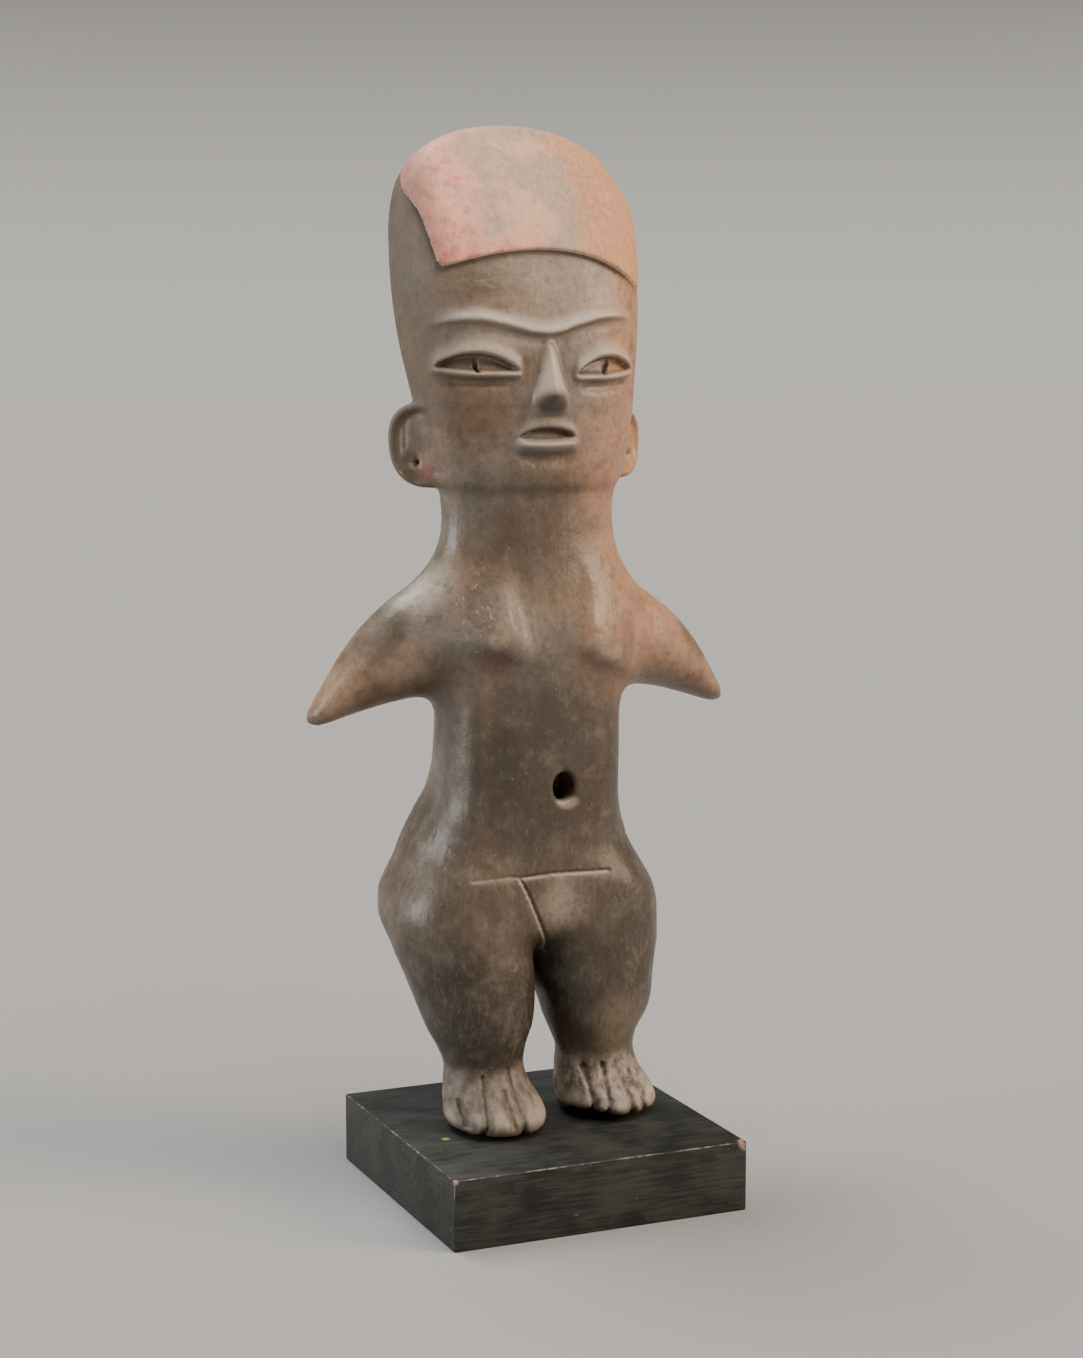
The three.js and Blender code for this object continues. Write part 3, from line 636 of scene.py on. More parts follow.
def navel_field(x, y, z):
    r = np.hypot((x - NAVEL[0]) / 0.94, (z - NAVEL[1]) / 1.18) - NAVEL_RADIUS
    lip = 1.6 * ease((-10.5 - y) / 3.0)
    return np.maximum(r - lip * 0.5, y - NAVEL_DEEPEST)


print("navel: a bore", 2 * NAVEL_RADIUS, "mm across at", NAVEL)

# %% [markdown]
# ## The finished surface
#
# A body built by hand is never quite even. The relief, a slow unevenness of a quarter of a
# millimetre, the panel, the ears and the navel are put together here into one field.

# %% All features in one field
SLOW_SWELL, SHORT_SWELL = 0.28, 0.12
PUPIL_DEPTH, LINE_DEPTH = 2.6, 0.9
# The heights between which each group of features lies.
HEAD_ROWS, CHEST_ROWS, TORSO_ROWS = (262, 324), (180, 245), (124, 212)
BELLY_ROWS, TOE_ROWS = (84, 142), (25, 52)


def uneven(x, y, z):
    a = np.sin(x / 11.3 + 1.1 * np.sin(z / 19.7)) * np.sin(z / 14.9 + 0.8)
    b = np.sin((x + y) / 7.1 + 2.0) * np.sin((z - y) / 9.3 + 1.3)
    return SLOW_SWELL * a + SHORT_SWELL * b


def relief(p):
    x, y, z = p[..., 0], p[..., 1], p[..., 2]
    raised = np.zeros(x.shape)
    front = ease((12 - y) / 8)

    def within(low, high, feature):
        rows = (z > low) & (z < high) & (front > 0)
        if rows.any():
            raised[rows] += front[rows] * feature(x[rows], y[rows], z[rows])

    within(*HEAD_ROWS, lambda a, b, c: (eye(a, c) + brow(a, c) + nose(a, c) + mouth(a, c)
                                        - PUPIL_DEPTH * pupil(a, c)))
    within(*CHEST_ROWS, lambda a, b, c: breast(a, c))
    within(*TORSO_ROWS, lambda a, b, c: flank(a, c))
    within(*BELLY_ROWS, lambda a, b, c: belly_fold(a, c) - LINE_DEPTH * line_depth(a, c))
    within(*TOE_ROWS, lambda a, b, c: toes(a, b, c) + pits(a, c))
    return raised + uneven(x, y, z)


def figure_field(p):
    x, y, z = p[..., 0], p[..., 1], p[..., 2]
    d = add_panel(skin(p) - relief(p), x, y, z)
    d = soft_union(d, ear_field(p), 2.5)
    near = (np.abs(x - NAVEL[0]) < 12) & (np.abs(z - NAVEL[1]) < 14) & (y < 6)
    bored = soft_cut(d, -navel_field(x, y, z), 1.2)
    return np.where(near, bored, d)


depth = -figure_field(np.array([0.2, 0.0, 289.0]))
print("the skin lies", round(float(depth), 1), "mm from a point behind the nose")

# %% [markdown]
# ## From field to mesh
#
# A voxel remesh would need millions of faces to hold a line half a millimetre wide. Instead, a
# coarse net of quads is laid where the field changes sign. Triangles are then halved only where the
# relief is fine, and every corner is drawn onto the surface along the field's own slope.

# %% A coarse net where the field changes sign
def lay_net(field, low, high, step):
    count = np.ceil((np.array(high) - low) / step).astype(int) + 1
    axes = [low[i] + step * np.arange(count[i]) for i in range(3)]
    value = field(np.stack(np.meshgrid(*axes, indexing="ij"), -1))
    inside = value < 0
    corners = [(i, j, k) for i in (0, 1) for j in (0, 1) for k in (0, 1)]
    cut = [tuple(slice(c[i], c[i] + count[i] - 1) for i in range(3)) for c in corners]
    total = np.zeros((*(count - 1), 3))
    crossings = np.zeros(count - 1)
    for a in range(8):
        for b in range(a + 1, 8):
            step_ab = np.subtract(corners[b], corners[a])
            if np.abs(step_ab).sum() != 1:
                continue
            va, vb = value[cut[a]], value[cut[b]]
            crossed = (va < 0) != (vb < 0)
            t = np.where(crossed, va / np.where(crossed, va - vb, 1), 0)
            total += np.where(crossed[..., None], corners[a] + t[..., None] * step_ab, 0)
            crossings += crossed
    used = crossings > 0
    number = np.full(count - 1, -1)
    number[used] = np.arange(used.sum())
    points = np.array(low) + step * (np.argwhere(used) + total[used] / crossings[used][:, None])
    triangles = []
    for axis in range(3):
        u, v = (axis + 1) % 3, (axis + 2) % 3
        first = np.take(inside, range(count[axis] - 1), axis)
        second = np.take(inside, range(1, count[axis]), axis)
        at = np.argwhere(first != second)
        at = at[(at[:, u] > 0) & (at[:, v] > 0) & (at[:, u] < count[u] - 1) & (at[:, v] < count[v] - 1)]
        outward = first[tuple(at.T)]

        def cell(du, dv):
            there = at.copy()
            there[:, u] -= du
            there[:, v] -= dv
            return number[tuple(there.T)]

        quad = np.stack([cell(0, 0), cell(1, 0), cell(1, 1), cell(0, 1)], 1)
        quad[outward] = quad[outward][:, ::-1]
        triangles += [quad[:, [0, 1, 2]], quad[:, [0, 2, 3]]]
    return points, np.concatenate(triangles)[:, ::-1]


def ball(p):
    return np.linalg.norm(p, axis=-1) - 5.0


ball_points, ball_triangles = lay_net(ball, (-8.0,) * 3, (8.0,) * 3, 2.0)
print("trial on a ball of 5 mm:", len(ball_points), "corners,", len(ball_triangles), "triangles")

# %% Halving the long edges
def edges_of(triangles):
    pairs = np.sort(triangles[:, [[0, 1], [1, 2], [2, 0]]].reshape(-1, 2), 1)
    edges, which = np.unique(pairs, axis=0, return_inverse=True)
    return edges, which.reshape(-1, 3)


def halve_long_edges(points, triangles, wanted):
    edges, of_triangle = edges_of(triangles)
    ends = points[edges]
    length = np.linalg.norm(ends[:, 0] - ends[:, 1], axis=1)
    middle = ends.mean(1)
    split = length > 1.35 * wanted(middle)
    longest = of_triangle[np.arange(len(triangles)), np.argmax(length[of_triangle], 1)]
    for _ in range(12):
        touched = split[of_triangle].any(1)
        if split[longest[touched]].all():
            break
        split[longest[touched]] = True
    number = np.full(len(edges), -1)
    number[split] = len(points) + np.arange(split.sum())
    points = np.concatenate([points, middle[split]])
    mark = number[of_triangle]
    cuts = (mark >= 0).sum(1)
    made = [triangles[cuts == 0]]
    for turn in range(3):
        order = [(turn + k) % 3 for k in range(3)]
        a, b, c = [triangles[:, k] for k in order]
        ab, bc, ca = [mark[:, k] for k in order]
        one = (cuts == 1) & (ab >= 0)
        made += [np.stack([a, ab, c], 1)[one], np.stack([ab, b, c], 1)[one]]
        two = (cuts == 2) & (ca < 0)
        made += [np.stack([ab, b, bc], 1)[two], np.stack([a, ab, bc], 1)[two], np.stack([a, bc, c], 1)[two]]
    a, b, c = triangles[cuts == 3].T
    ab, bc, ca = mark[cuts == 3].T
    made += [np.stack(t, 1) for t in ((a, ab, ca), (ab, b, bc), (ca, bc, c), (ab, bc, ca))]
    return points, np.concatenate(made)


print("edges of the trial ball:", len(edges_of(ball_triangles)[0]))

# %% Drawing corners onto the surface
def slope_of(field, points, reach=0.12):
    steps = np.eye(3) * reach
    return np.stack([(field(points + s) - field(points - s)) / (2 * reach) for s in steps], -1)


def draw_onto(field, points, rounds, furthest=1.2):
    for _ in range(rounds):
        slope = slope_of(field, points)
        steep = np.maximum((slope ** 2).sum(1), 0.2)
        move = -(field(points) / steep)[:, None] * slope
        far = np.linalg.norm(move, axis=1, keepdims=True)
        points = points + move * np.minimum(1, furthest / np.maximum(far, 1e-9))
    return points


def even_out(field, points, triangles):
    edges, _ = edges_of(triangles)
    total = np.zeros_like(points)
    count = np.zeros(len(points))
    for a, b in (edges.T, edges.T[::-1]):
        np.add.at(total, a, points[b])
        np.add.at(count, a, 1)
    slope = slope_of(field, points)
    slope /= np.maximum(np.linalg.norm(slope, axis=1, keepdims=True), 1e-6)
    move = total / count[:, None] - points
    move -= (move * slope).sum(1, keepdims=True) * slope
    return points + 0.5 * move


drawn = draw_onto(ball, ball_points, 3)
print("corners of the ball lie at", np.linalg.norm(drawn, axis=1).min().round(3), "mm or more")

# %% How fine the mesh is where
WIDEST_EDGE, FACE_EDGE, TRUNK_EDGE = 2.9, 1.4, 1.2
SLIT_EDGE, EYE_EDGE, MOUTH_EDGE, BROW_EDGE = 0.62, 1.0, 0.66, 0.85
RIM_EDGE, EAR_EDGE, NAVEL_EDGE, LINE_EDGE, TOE_EDGE = 0.75, 0.85, 0.8, 0.5, 0.95


def wanted_edge(p):
    """The edge length each place needs, in millimetres."""
    x, y, z = p[:, 0], p[:, 1], p[:, 2]
    size = np.full(len(p), WIDEST_EDGE)

    def finer(where, length):
        size[where] = np.minimum(size[where], length)

    front = y < 13
    finer(front & (z > 262) & (z < 322), FACE_EDGE)
    u, floor, top, _ = eye_frame(x)
    finer(front & (np.abs(u) < 1.15) & (z > floor - 2.5) & (z < top + 2), SLIT_EDGE)
    finer(front & (np.abs(u) < 1.15) & (z > floor - 6) & (z < top + 5), EYE_EDGE)
    finer(front & (np.abs(x) < 14) & (z > 266) & (z < 281), MOUTH_EDGE)
    finer(front & (np.abs(x) < 10) & (z > 280) & (z < 309), BROW_EDGE)
    up = z - BROW_LINE(x)
    finer(front & (np.abs(up + 1.0) < 3), BROW_EDGE)
    above, ahead = panel_edges(x, y, z)
    rim = ((np.abs(above) < 1.8) & (ahead > -2)) | ((np.abs(ahead) < 1.8) & (above > -2))
    finer(rim, RIM_EDGE)
    out, facing, rise = ear_axes(p)
    finer((out > 1) & (out < 16) & (np.abs(rise) < 17) & (np.abs(facing) < 6), EAR_EDGE)
    finer((np.hypot(x - NAVEL[0], z - NAVEL[1]) < 8) & (y < 2), NAVEL_EDGE)
    finer((y < 4) & (z < 121) & (z > 84) & (line_depth(x, z) > 0.02), LINE_EDGE)
    finer((z < 50) & (y < 8), TOE_EDGE)
    finer(front & (z > 128) & (z < 210) & (np.abs(x - FLANK_LINE(z)) < 4), TRUNK_EDGE)
    return size


print("edges near the right eye:", wanted_edge(np.array([[-25.0, -8.0, 298.0]])), "mm")

# %% Model the figure
NET_LOW, NET_HIGH, NET_STEP = (-87.0, -34.0, 21.0), (87.0, 59.0, 390.0), 3.0
HALVINGS = 3


def model_figure():
    points, triangles = lay_net(figure_field, NET_LOW, NET_HIGH, NET_STEP)
    points = draw_onto(figure_field, points, 3)
    points = draw_onto(figure_field, even_out(figure_field, points, triangles), 2)
    for _ in range(HALVINGS):
        points, triangles = halve_long_edges(points, triangles, wanted_edge)
        points = draw_onto(figure_field, points, 2)
        points = draw_onto(figure_field, even_out(figure_field, points, triangles), 2)
    return draw_onto(figure_field, points, 2, 0.5), triangles


def mesh_object(name, points, faces):
    mesh = bpy.data.meshes.new(name)
    mesh.from_pydata((np.asarray(points) / 1000).tolist(), [], np.asarray(faces).tolist())
    mesh.polygons.foreach_set("use_smooth", [True] * len(mesh.polygons))
    obj = bpy.data.objects.new(name, mesh)
    bpy.context.collection.objects.link(obj)
    return obj


points, triangles = model_figure()
figure = mesh_object("figure_skin", points, triangles)
print("figure:", len(triangles), "triangles", points.min(0).round(2), points.max(0).round(2))

# %% [markdown]
# ## What the mesh carries
#
# The hollows and undersides get painted shade, the ridges are rubbed pale and carry painted highlight,
# and a fresh cut shows the raw clay. A pointiness or occlusion node could guess at that, but the field
# knows it exactly, so each corner of the mesh carries the values, and the clay reads them.

# %% Hollows, ridges, lines and the panel, stored on the corners
def store(obj, name, values):
    attribute = obj.data.attributes.new(name, "FLOAT", "POINT")
    attribute.data.foreach_set("value", np.asarray(values, float))


def facing_up(p):
    slope = slope_of(figure_field, p)
    return slope[:, 2] / np.maximum(np.linalg.norm(slope, axis=1), 1e-6)


def sheltered(p, reach=2.5):
    """1 in a crease: a step out along the slope doesn't get clear of the clay."""
    slope = slope_of(figure_field, p)
    out = slope / np.maximum(np.linalg.norm(slope, axis=1, keepdims=True), 1e-6)
    return ease((0.75 - figure_field(p + reach * out) / reach) / 0.8)


EYE_ROWS, FACE_ROWS = (288, 322), (262, 288)
# How much of the painted shade in creases lies in the eyes and in the rest of the face.
SHADE_KEPT_IN_EYES, SHADE_KEPT_IN_FACE = 0.45, 0.75
TOES_BELOW = 52


def mark_surface(obj, p):
    x, y, z = p[:, 0], p[:, 1], p[:, 2]
    front = ease((12 - y) / 8)
    carved = relief(p) - uneven(x, y, z)
    for broad, (low, high) in ((breast, CHEST_ROWS), (belly_fold, BELLY_ROWS), (flank, TORSO_ROWS)):
        carved -= front * np.where((z > low) & (z < high), broad(x, z), 0)
    incised = front * ((z > 84) & (z < 122) & (y < 6))
    # The dust in a line is laid a little low, on its lower wall, where it is also painted highlight; the
    # painted shade is laid a little high, on its upper wall.
    line, shade = incised * line_depth(x + 0.3, z + 0.3), incised * line_depth(x - 0.5, z - 0.5)
    store(obj, "panel", panel_cover(x, y, z))
    in_eyes = (z > EYE_ROWS[0]) & (z < EYE_ROWS[1])
    in_face = (z > FACE_ROWS[0]) & (z < FACE_ROWS[1])
    crease_shade_share = np.where(in_eyes, SHADE_KEPT_IN_EYES, np.where(in_face, SHADE_KEPT_IN_FACE, 1))
    creased = np.where(z < TOES_BELOW, 0.5 * ease((-carved - 0.2) / 0.9),
                       np.maximum(ease((-carved - 1.8) / 2.2), sheltered(p)) * crease_shade_share)
    # hollow: painted shade in creases and sheltered places, and on the upper wall of the incised lines.
    store(obj, "hollow", np.maximum(creased * (1 - line), 0.7 * shade))
    # under: painted shade where the skin faces down.
    store(obj, "under", ease(-facing_up(p) / 0.8))
    # ridge: how far the rubbed-pale ridges, with their painted highlight, stand out.
    store(obj, "ridge", np.where(z < TOES_BELOW, np.clip(carved / 0.5, 0, 0.6), np.clip(carved / 2.5, 0, 1)))
    store(obj, "line", line)
    holes = np.clip(-pits(x, z) / PIT_DEPTH, 0, 1) * (z < 60)
    # pricked: painted shade in the pupils' slits and in the holes on the left foot.
    store(obj, "pricked", front * np.where(z > 280, pupil(x, z), holes))


mark_surface(figure, points)
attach(figure, "root")
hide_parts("figure")
print("the figure carries:", [a.name for a in figure.data.attributes if a.domain == "POINT"])

# %% [markdown]
# ## The base
#
# One square of inch board with its edges rubbed a little round by handling. Eight corners and a
# Bevel modifier make it, which is quicker to change than a modelled edge.

# %% Board
BASE_SIDE = 112.0
BASE_HEIGHT = 25.4
RUBBED_EDGE = 0.7


def model_base():
    h = BASE_SIDE / 2
    corners = [(x, y, z) for z in (0, BASE_HEIGHT) for y in (-h, h) for x in (-h, h)]
    faces = [(0, 2, 3, 1), (4, 5, 7, 6), (0, 1, 5, 4), (1, 3, 7, 5), (3, 2, 6, 7), (2, 0, 4, 6)]
    obj = mesh_object("base_board", corners, faces)
    bevel = obj.modifiers.new("rubbed edges", "BEVEL")
    bevel.width = RUBBED_EDGE / 1000
    bevel.segments = 3
    bevel.limit_method = "NONE"
    return obj


base = model_base()
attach(base, "root")
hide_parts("base")
print("board:", BASE_SIDE, "mm square and", BASE_HEIGHT, "mm thick")

# %% [markdown]
# ## Paint helpers
#
# Colours are written as sRGB hex, as they are read off a photograph, and one function turns them
# linear for the shader. One more adds a node with its settings and links. The rest are the strokes
# of the work: patches, spots and bands laid on the object in its own millimetres, and a tint over
# what is there. Patterns sit in the object's coordinates, so they can't slide when it moves.

# %% Colours and nodes
def linear(hex_colour, alpha=1.0):
    channels = [int(hex_colour[i:i + 2], 16) / 255 for i in (1, 3, 5)]
    return [c / 12.92 if c <= 0.04045 else ((c + 0.055) / 1.055) ** 2.4 for c in channels] + [alpha]


def add(tree, kind, inputs=None, output=0, **settings):
    """Adds one node with its settings and links, and returns the output that is asked for."""
    node = tree.nodes.new(kind)
    for name, value in settings.items():
        setattr(node, name, value)
    for name, value in (inputs or {}).items():
        if isinstance(value, bpy.types.NodeSocket):
            tree.links.new(value, node.inputs[name])
        else:
            node.inputs[name].default_value = value
    return node.outputs[output] if len(node.outputs) else node


def start_material(name):
    """An empty material, and the object's coordinates in millimetres."""
    material = bpy.data.materials.new(name)
    material.use_nodes = True
    tree = material.node_tree
    tree.nodes.clear()
    metres = add(tree, "ShaderNodeTexCoord", output="Object")
    mm = add(tree, "ShaderNodeVectorMath", {0: metres, "Scale": 1000.0}, operation="SCALE")
    return material, tree, mm


print("mid grey in linear light:", [round(c, 3) for c in linear("#808080")])

# %% Patches, spots and bands
def ramp(tree, value, low, high):
    """A soft rise from 0 at low to 1 at high, or a soft fall where low is the larger."""
    falls = low > high
    return add(tree, "ShaderNodeMapRange", {
        "Value": value, "From Min": min(low, high), "From Max": max(low, high),
        "To Min": float(falls), "To Max": float(not falls)}, interpolation_type="SMOOTHSTEP")


def patches(tree, mm, size_mm, low=None, high=None, detail=3.0, rough=0.55, stretch=(1, 1, 1),
            offset=(0, 0, 0), warp=0.0):
    """Clouding in patches about size_mm across, as it is or sharpened to a soft step."""
    placed = add(tree, "ShaderNodeMapping", {
        "Vector": mm, "Location": offset, "Scale": [1 / (size_mm * s) for s in stretch]})
    cloud = add(tree, "ShaderNodeTexNoise", {
        "Vector": placed, "Scale": 1.0, "Detail": detail, "Roughness": rough, "Distortion": warp},
        output="Fac")
    return cloud if low is None else ramp(tree, cloud, low, high)


def spot(tree, mm, centre, radius_mm, softness=0.5, stretch=(1, 1, 1)):
    """1 inside a ball about a point, falling to 0 at its edge."""
    placed = add(tree, "ShaderNodeMapping", {
        "Vector": mm, "Location": [-c / (radius_mm * s) for c, s in zip(centre, stretch)],
        "Scale": [1 / (radius_mm * s) for s in stretch]})
    far = add(tree, "ShaderNodeVectorMath", {0: placed}, output="Value", operation="LENGTH")
    return ramp(tree, far, 1.0, 1.0 - softness)


def band(tree, mm, axis, low, high, wander=None):
    """A soft step along one axis. Its wander is a patch size, a reach in mm and an offset."""
    level = add(tree, "ShaderNodeSeparateXYZ", {0: mm}, output=axis)
    if wander:
        size_mm, reach_mm, offset = wander
        drift = add(tree, "ShaderNodeMath", {0: patches(tree, mm, size_mm, offset=offset), 1: 0.5},
                    operation="SUBTRACT")
        level = pile(tree, (level,), (drift, reach_mm))
    return ramp(tree, level, low, high)


print("placed in millimetres:", [f.__name__ for f in (patches, spot, band)])

# %% Laying tones, and finishing a surface
def joined(tree, operation, values):
    """All the values taken together, two at a time."""
    result = values[0]
    for value in values[1:]:
        result = add(tree, "ShaderNodeMath", {0: result, 1: value}, operation=operation)
    return result


def overlap(tree, *amounts):
    """Full only where all the amounts are."""
    return joined(tree, "MULTIPLY", amounts)


def either(tree, *amounts):
    """The fullest of the amounts at each place."""
    return joined(tree, "MAXIMUM", amounts)


def pile(tree, *layers):
    """Layers added up, each a pattern with its weight."""
    return joined(tree, "ADD", [overlap(tree, *layer) for layer in layers])


def tint(tree, colour, tone, *amounts):
    """Lays a tone over a colour where all the amounts are."""
    over = linear(tone) if isinstance(tone, str) else tone
    return add(tree, "ShaderNodeMix", {0: overlap(tree, *amounts), 6: colour, 7: over}, output=2,
               data_type="RGBA")


def lay_spots(tree, mm, colour, spots):
    """Rows of centre, radius, softness, stretch, amount and tone."""
    for centre, radius_mm, softness, stretch, amount, tone in spots:
        colour = tint(tree, colour, tone, spot(tree, mm, centre, radius_mm, softness, stretch), amount)
    return colour


def finish_surface(tree, colour, roughness, height, bump_mm, shine=0.5):
    """Bump, shader and output. Fired clay and paint are no metals, and keep the usual IOR of 1.5."""
    bump = add(tree, "ShaderNodeBump", {"Height": height, "Distance": bump_mm / 1000, "Strength": 1.0})
    shader = add(tree, "ShaderNodeBsdfPrincipled", {
        "Base Color": colour, "Roughness": roughness, "Normal": bump, "Specular IOR Level": shine})
    add(tree, "ShaderNodeOutputMaterial", {"Surface": shader})


print("amounts and tones:", [f.__name__ for f in (overlap, either, pile, tint, lay_spots)])

# %% [markdown]
# ## Burnished earthenware: the fired ground
#
# The figure is low-fired earthenware, rubbed with a smooth stone before firing, so the clay has a
# soft broken shine rather than a glaze. An open fire left it uneven: warm brown on its left, grey
# brown elsewhere, and nearly black below the waist. The warm left is laid lighter too, as painted
# light on the side the key light falls on. Painted shade lies on the right cheek, the chin, the
# throat, under the right breast, in the right armpit and between the legs, and painted highlights
# on the crests of the breasts and the right shoulder. One noise would look like a stain on stone,
# so the tones are laid as a painter would, the broad ones first and each where the real one lies.

# %% Clay ground, the warm side with painted light, and painted shade on the head
CLAY, CLAY_GREY, CLAY_UMBER = "#83705f", "#787068", "#67574a"
# The soot's colour is laid as real soot, and also as painted shade on every underside.
CLAY_DARK, SOOT_AND_SHADE_UNDER, WARM_AND_LIT_CLAY = "#463d32", "#2a231a", "#bb8e6c"
ARM_TIP = "#a78466"
ROUND = (1, 1, 1)
# Painted shade: on the right cheek, away from the key light, below the mouth and chin, and on the throat
# under the head.
PAINTED_HEAD_SHADE = [
    ((-27, -2, 282), 25, 0.9, ROUND, 0.8, "#5f4b3b"),          # right cheek
    ((-4, -6, 261), 20, 0.9, (1.2, 1, 0.7), 0.6, "#5d5143"),   # chin
    ((-8, -4, 240), 40, 0.9, (1, 1, 0.8), 0.8, "#51443a"),     # throat
]


def clay_ground(tree, mm):
    colour = tint(tree, linear(CLAY), CLAY_GREY,
                  patches(tree, mm, 34, 0.40, 0.60, detail=2.0, rough=0.5, warp=0.4))
    colour = tint(tree, colour, CLAY_UMBER, patches(tree, mm, 24, 0.50, 0.66, offset=(2, 6, 3)), 0.6)
    # The figure's left is warmer clay, and is laid lighter too as painted light on the side the key light
    # falls on.
    colour = tint(tree, colour, WARM_AND_LIT_CLAY, band(tree, mm, "X", 4, 36, wander=(30, 50, (3, 1, 5))),
                  band(tree, mm, "Z", 160, 215), 0.85)
    # Painted shade on the right cheek, the chin and the throat.
    colour = lay_spots(tree, mm, colour, PAINTED_HEAD_SHADE)
    out = add(tree, "ShaderNodeSeparateXYZ", {0: mm}, output="X")
    out = add(tree, "ShaderNodeMath", {0: out}, operation="ABSOLUTE")
    return tint(tree, colour, ARM_TIP, ramp(tree, out, 48, 72), 0.6)


print("ground tones:", CLAY, CLAY_GREY, CLAY_UMBER, "with", len(PAINTED_HEAD_SHADE), "spots on the head")

# %% Fire clouds, the darker legs, and painted shade and highlights on the body
HIP_BROWN, GAP_SHADOW_BLACK, FLANK_DARK = "#776a5b", "#1b1713", "#35322a"
BODY_TONES = [
    ((4, -11, 106), 15, 0.9, ROUND, 0.95, "#a39486"),            # below the belt line
    ((28, -6, 62), 17, 0.8, (1, 1, 1.1), 0.9, "#ad9f85"),        # left shin
    # Painted shade under the right breast.
    ((-21, -10, 195), 9, 0.8, (1.2, 1, 0.8), 0.75, "#553d30"),   # under the right breast
    # Painted shade in the right armpit.
    ((-38, -2, 193), 12, 0.9, ROUND, 0.6, "#46392e"),            # right armpit
]
# Painted highlights on the crests of the breasts and on top of the right shoulder.
PAINTED_BODY_HIGHLIGHTS = [
    ((-20, -12, 206), 7, 0.9, ROUND, 0.3, "#bcab9b"),            # crest of the right breast
    ((22, -12, 197), 7, 0.9, (1.4, 1, 0.7), 0.3, "#bcab9b"),     # crest of the left breast
    ((-45, 6, 223), 18, 0.9, (1.2, 1, 0.8), 0.75, "#bcb1a3"),    # top of the right shoulder
]


def fire_clouds(tree, mm):
    """Where soot lies: in clouds below the head, on the right shin and on the belly."""
    clouds = overlap(tree, patches(tree, mm, 40, 0.52, 0.66, rough=0.6, offset=(11, 4, 9)), 0.5,
                     band(tree, mm, "Z", 330, 240))
    shins = overlap(tree, band(tree, mm, "Z", 104, 70, wander=(14, 30, (1, 3, 3))),
                    band(tree, mm, "Z", 44, 54), band(tree, mm, "X", 14, 2), 0.95)
    belly = overlap(tree, spot(tree, mm, (0, -4, 164), 44, 0.6, (1.2, 1, 1.0)), 0.75)
    return either(tree, clouds, shins, belly)


def fired_tones(tree, mm, colour):
    colour = tint(tree, colour, CLAY_DARK, band(tree, mm, "Z", 185, 118, wander=(26, 70, (7, 2, 1))), 0.92)
    colour = tint(tree, colour, SOOT_AND_SHADE_UNDER, fire_clouds(tree, mm))
    colour = tint(tree, colour, HIP_BROWN, band(tree, mm, "Z", 86, 100, wander=(16, 26, (3, 6, 2))),
                  band(tree, mm, "Z", 136, 118), 0.35)
    colour = lay_spots(tree, mm, colour, BODY_TONES)
    # Painted shadow between the legs, where the right leg's inner side is in shade.
    shadow_between_legs = either(tree, spot(tree, mm, (3.5, -5, 80), 10, 0.8, (0.8, 1, 1.4)),
                          overlap(tree, spot(tree, mm, (6, -8, 93), 7, 0.9, (0.7, 1, 1.6)), 0.5))
    colour = tint(tree, colour, GAP_SHADOW_BLACK, shadow_between_legs, 0.9)
    # Painted highlights on the breasts and the right shoulder.
    colour = lay_spots(tree, mm, colour, PAINTED_BODY_HIGHLIGHTS)
    return tint(tree, colour, FLANK_DARK, band(tree, mm, "X", 8, 34),
                band(tree, mm, "Z", 182, 152, wander=(20, 24, (6, 2, 8))), 0.65)


print("body tones:", len(BODY_TONES), "dark or brown and", len(PAINTED_BODY_HIGHLIGHTS), "pale")

# %% [markdown]
# ## Marks of the burnishing stone
#
# The stone left strokes some 2 to 3 mm wide that run down the legs, and the grit of the clay shows
# as flecks of about 2 mm. Finer grit than that would not show at this size, so it is drawn this
# coarse. Each pattern is laid twice, its peaks pale and its troughs dark, as rubbing does.

# %% Strokes, flecks and blotches
BURNISH = "#a5988b"
STROKES = dict(size_mm=2.6, detail=6.0, rough=0.7, stretch=(1, 1, 3.5), warp=1.2)
FLECKS = dict(size_mm=2.0, detail=6.0, rough=0.78, stretch=(1, 1, 1.4), offset=(2, 9, 9), warp=0.8)
BLOTCHES = dict(size_mm=8, detail=4.0, rough=0.6, offset=(7, 7, 4), warp=0.15)
BRUSHED = dict(size_mm=3.0, detail=4.0, rough=0.65, stretch=(5, 5, 1), offset=(3, 8, 6), warp=0.5)
# Painted highlights on the brow and the right lid, where light from above falls.
PAINTED_FACE_HIGHLIGHTS = [
    ((6, -4, 324), 36, 0.9, (1, 1, 0.75), 0.5, "#ab9b8c"),       # brow
    ((-19, -4, 309), 15, 0.9, (1.3, 1, 0.6), 0.65, "#b1a495"),   # right lid
]


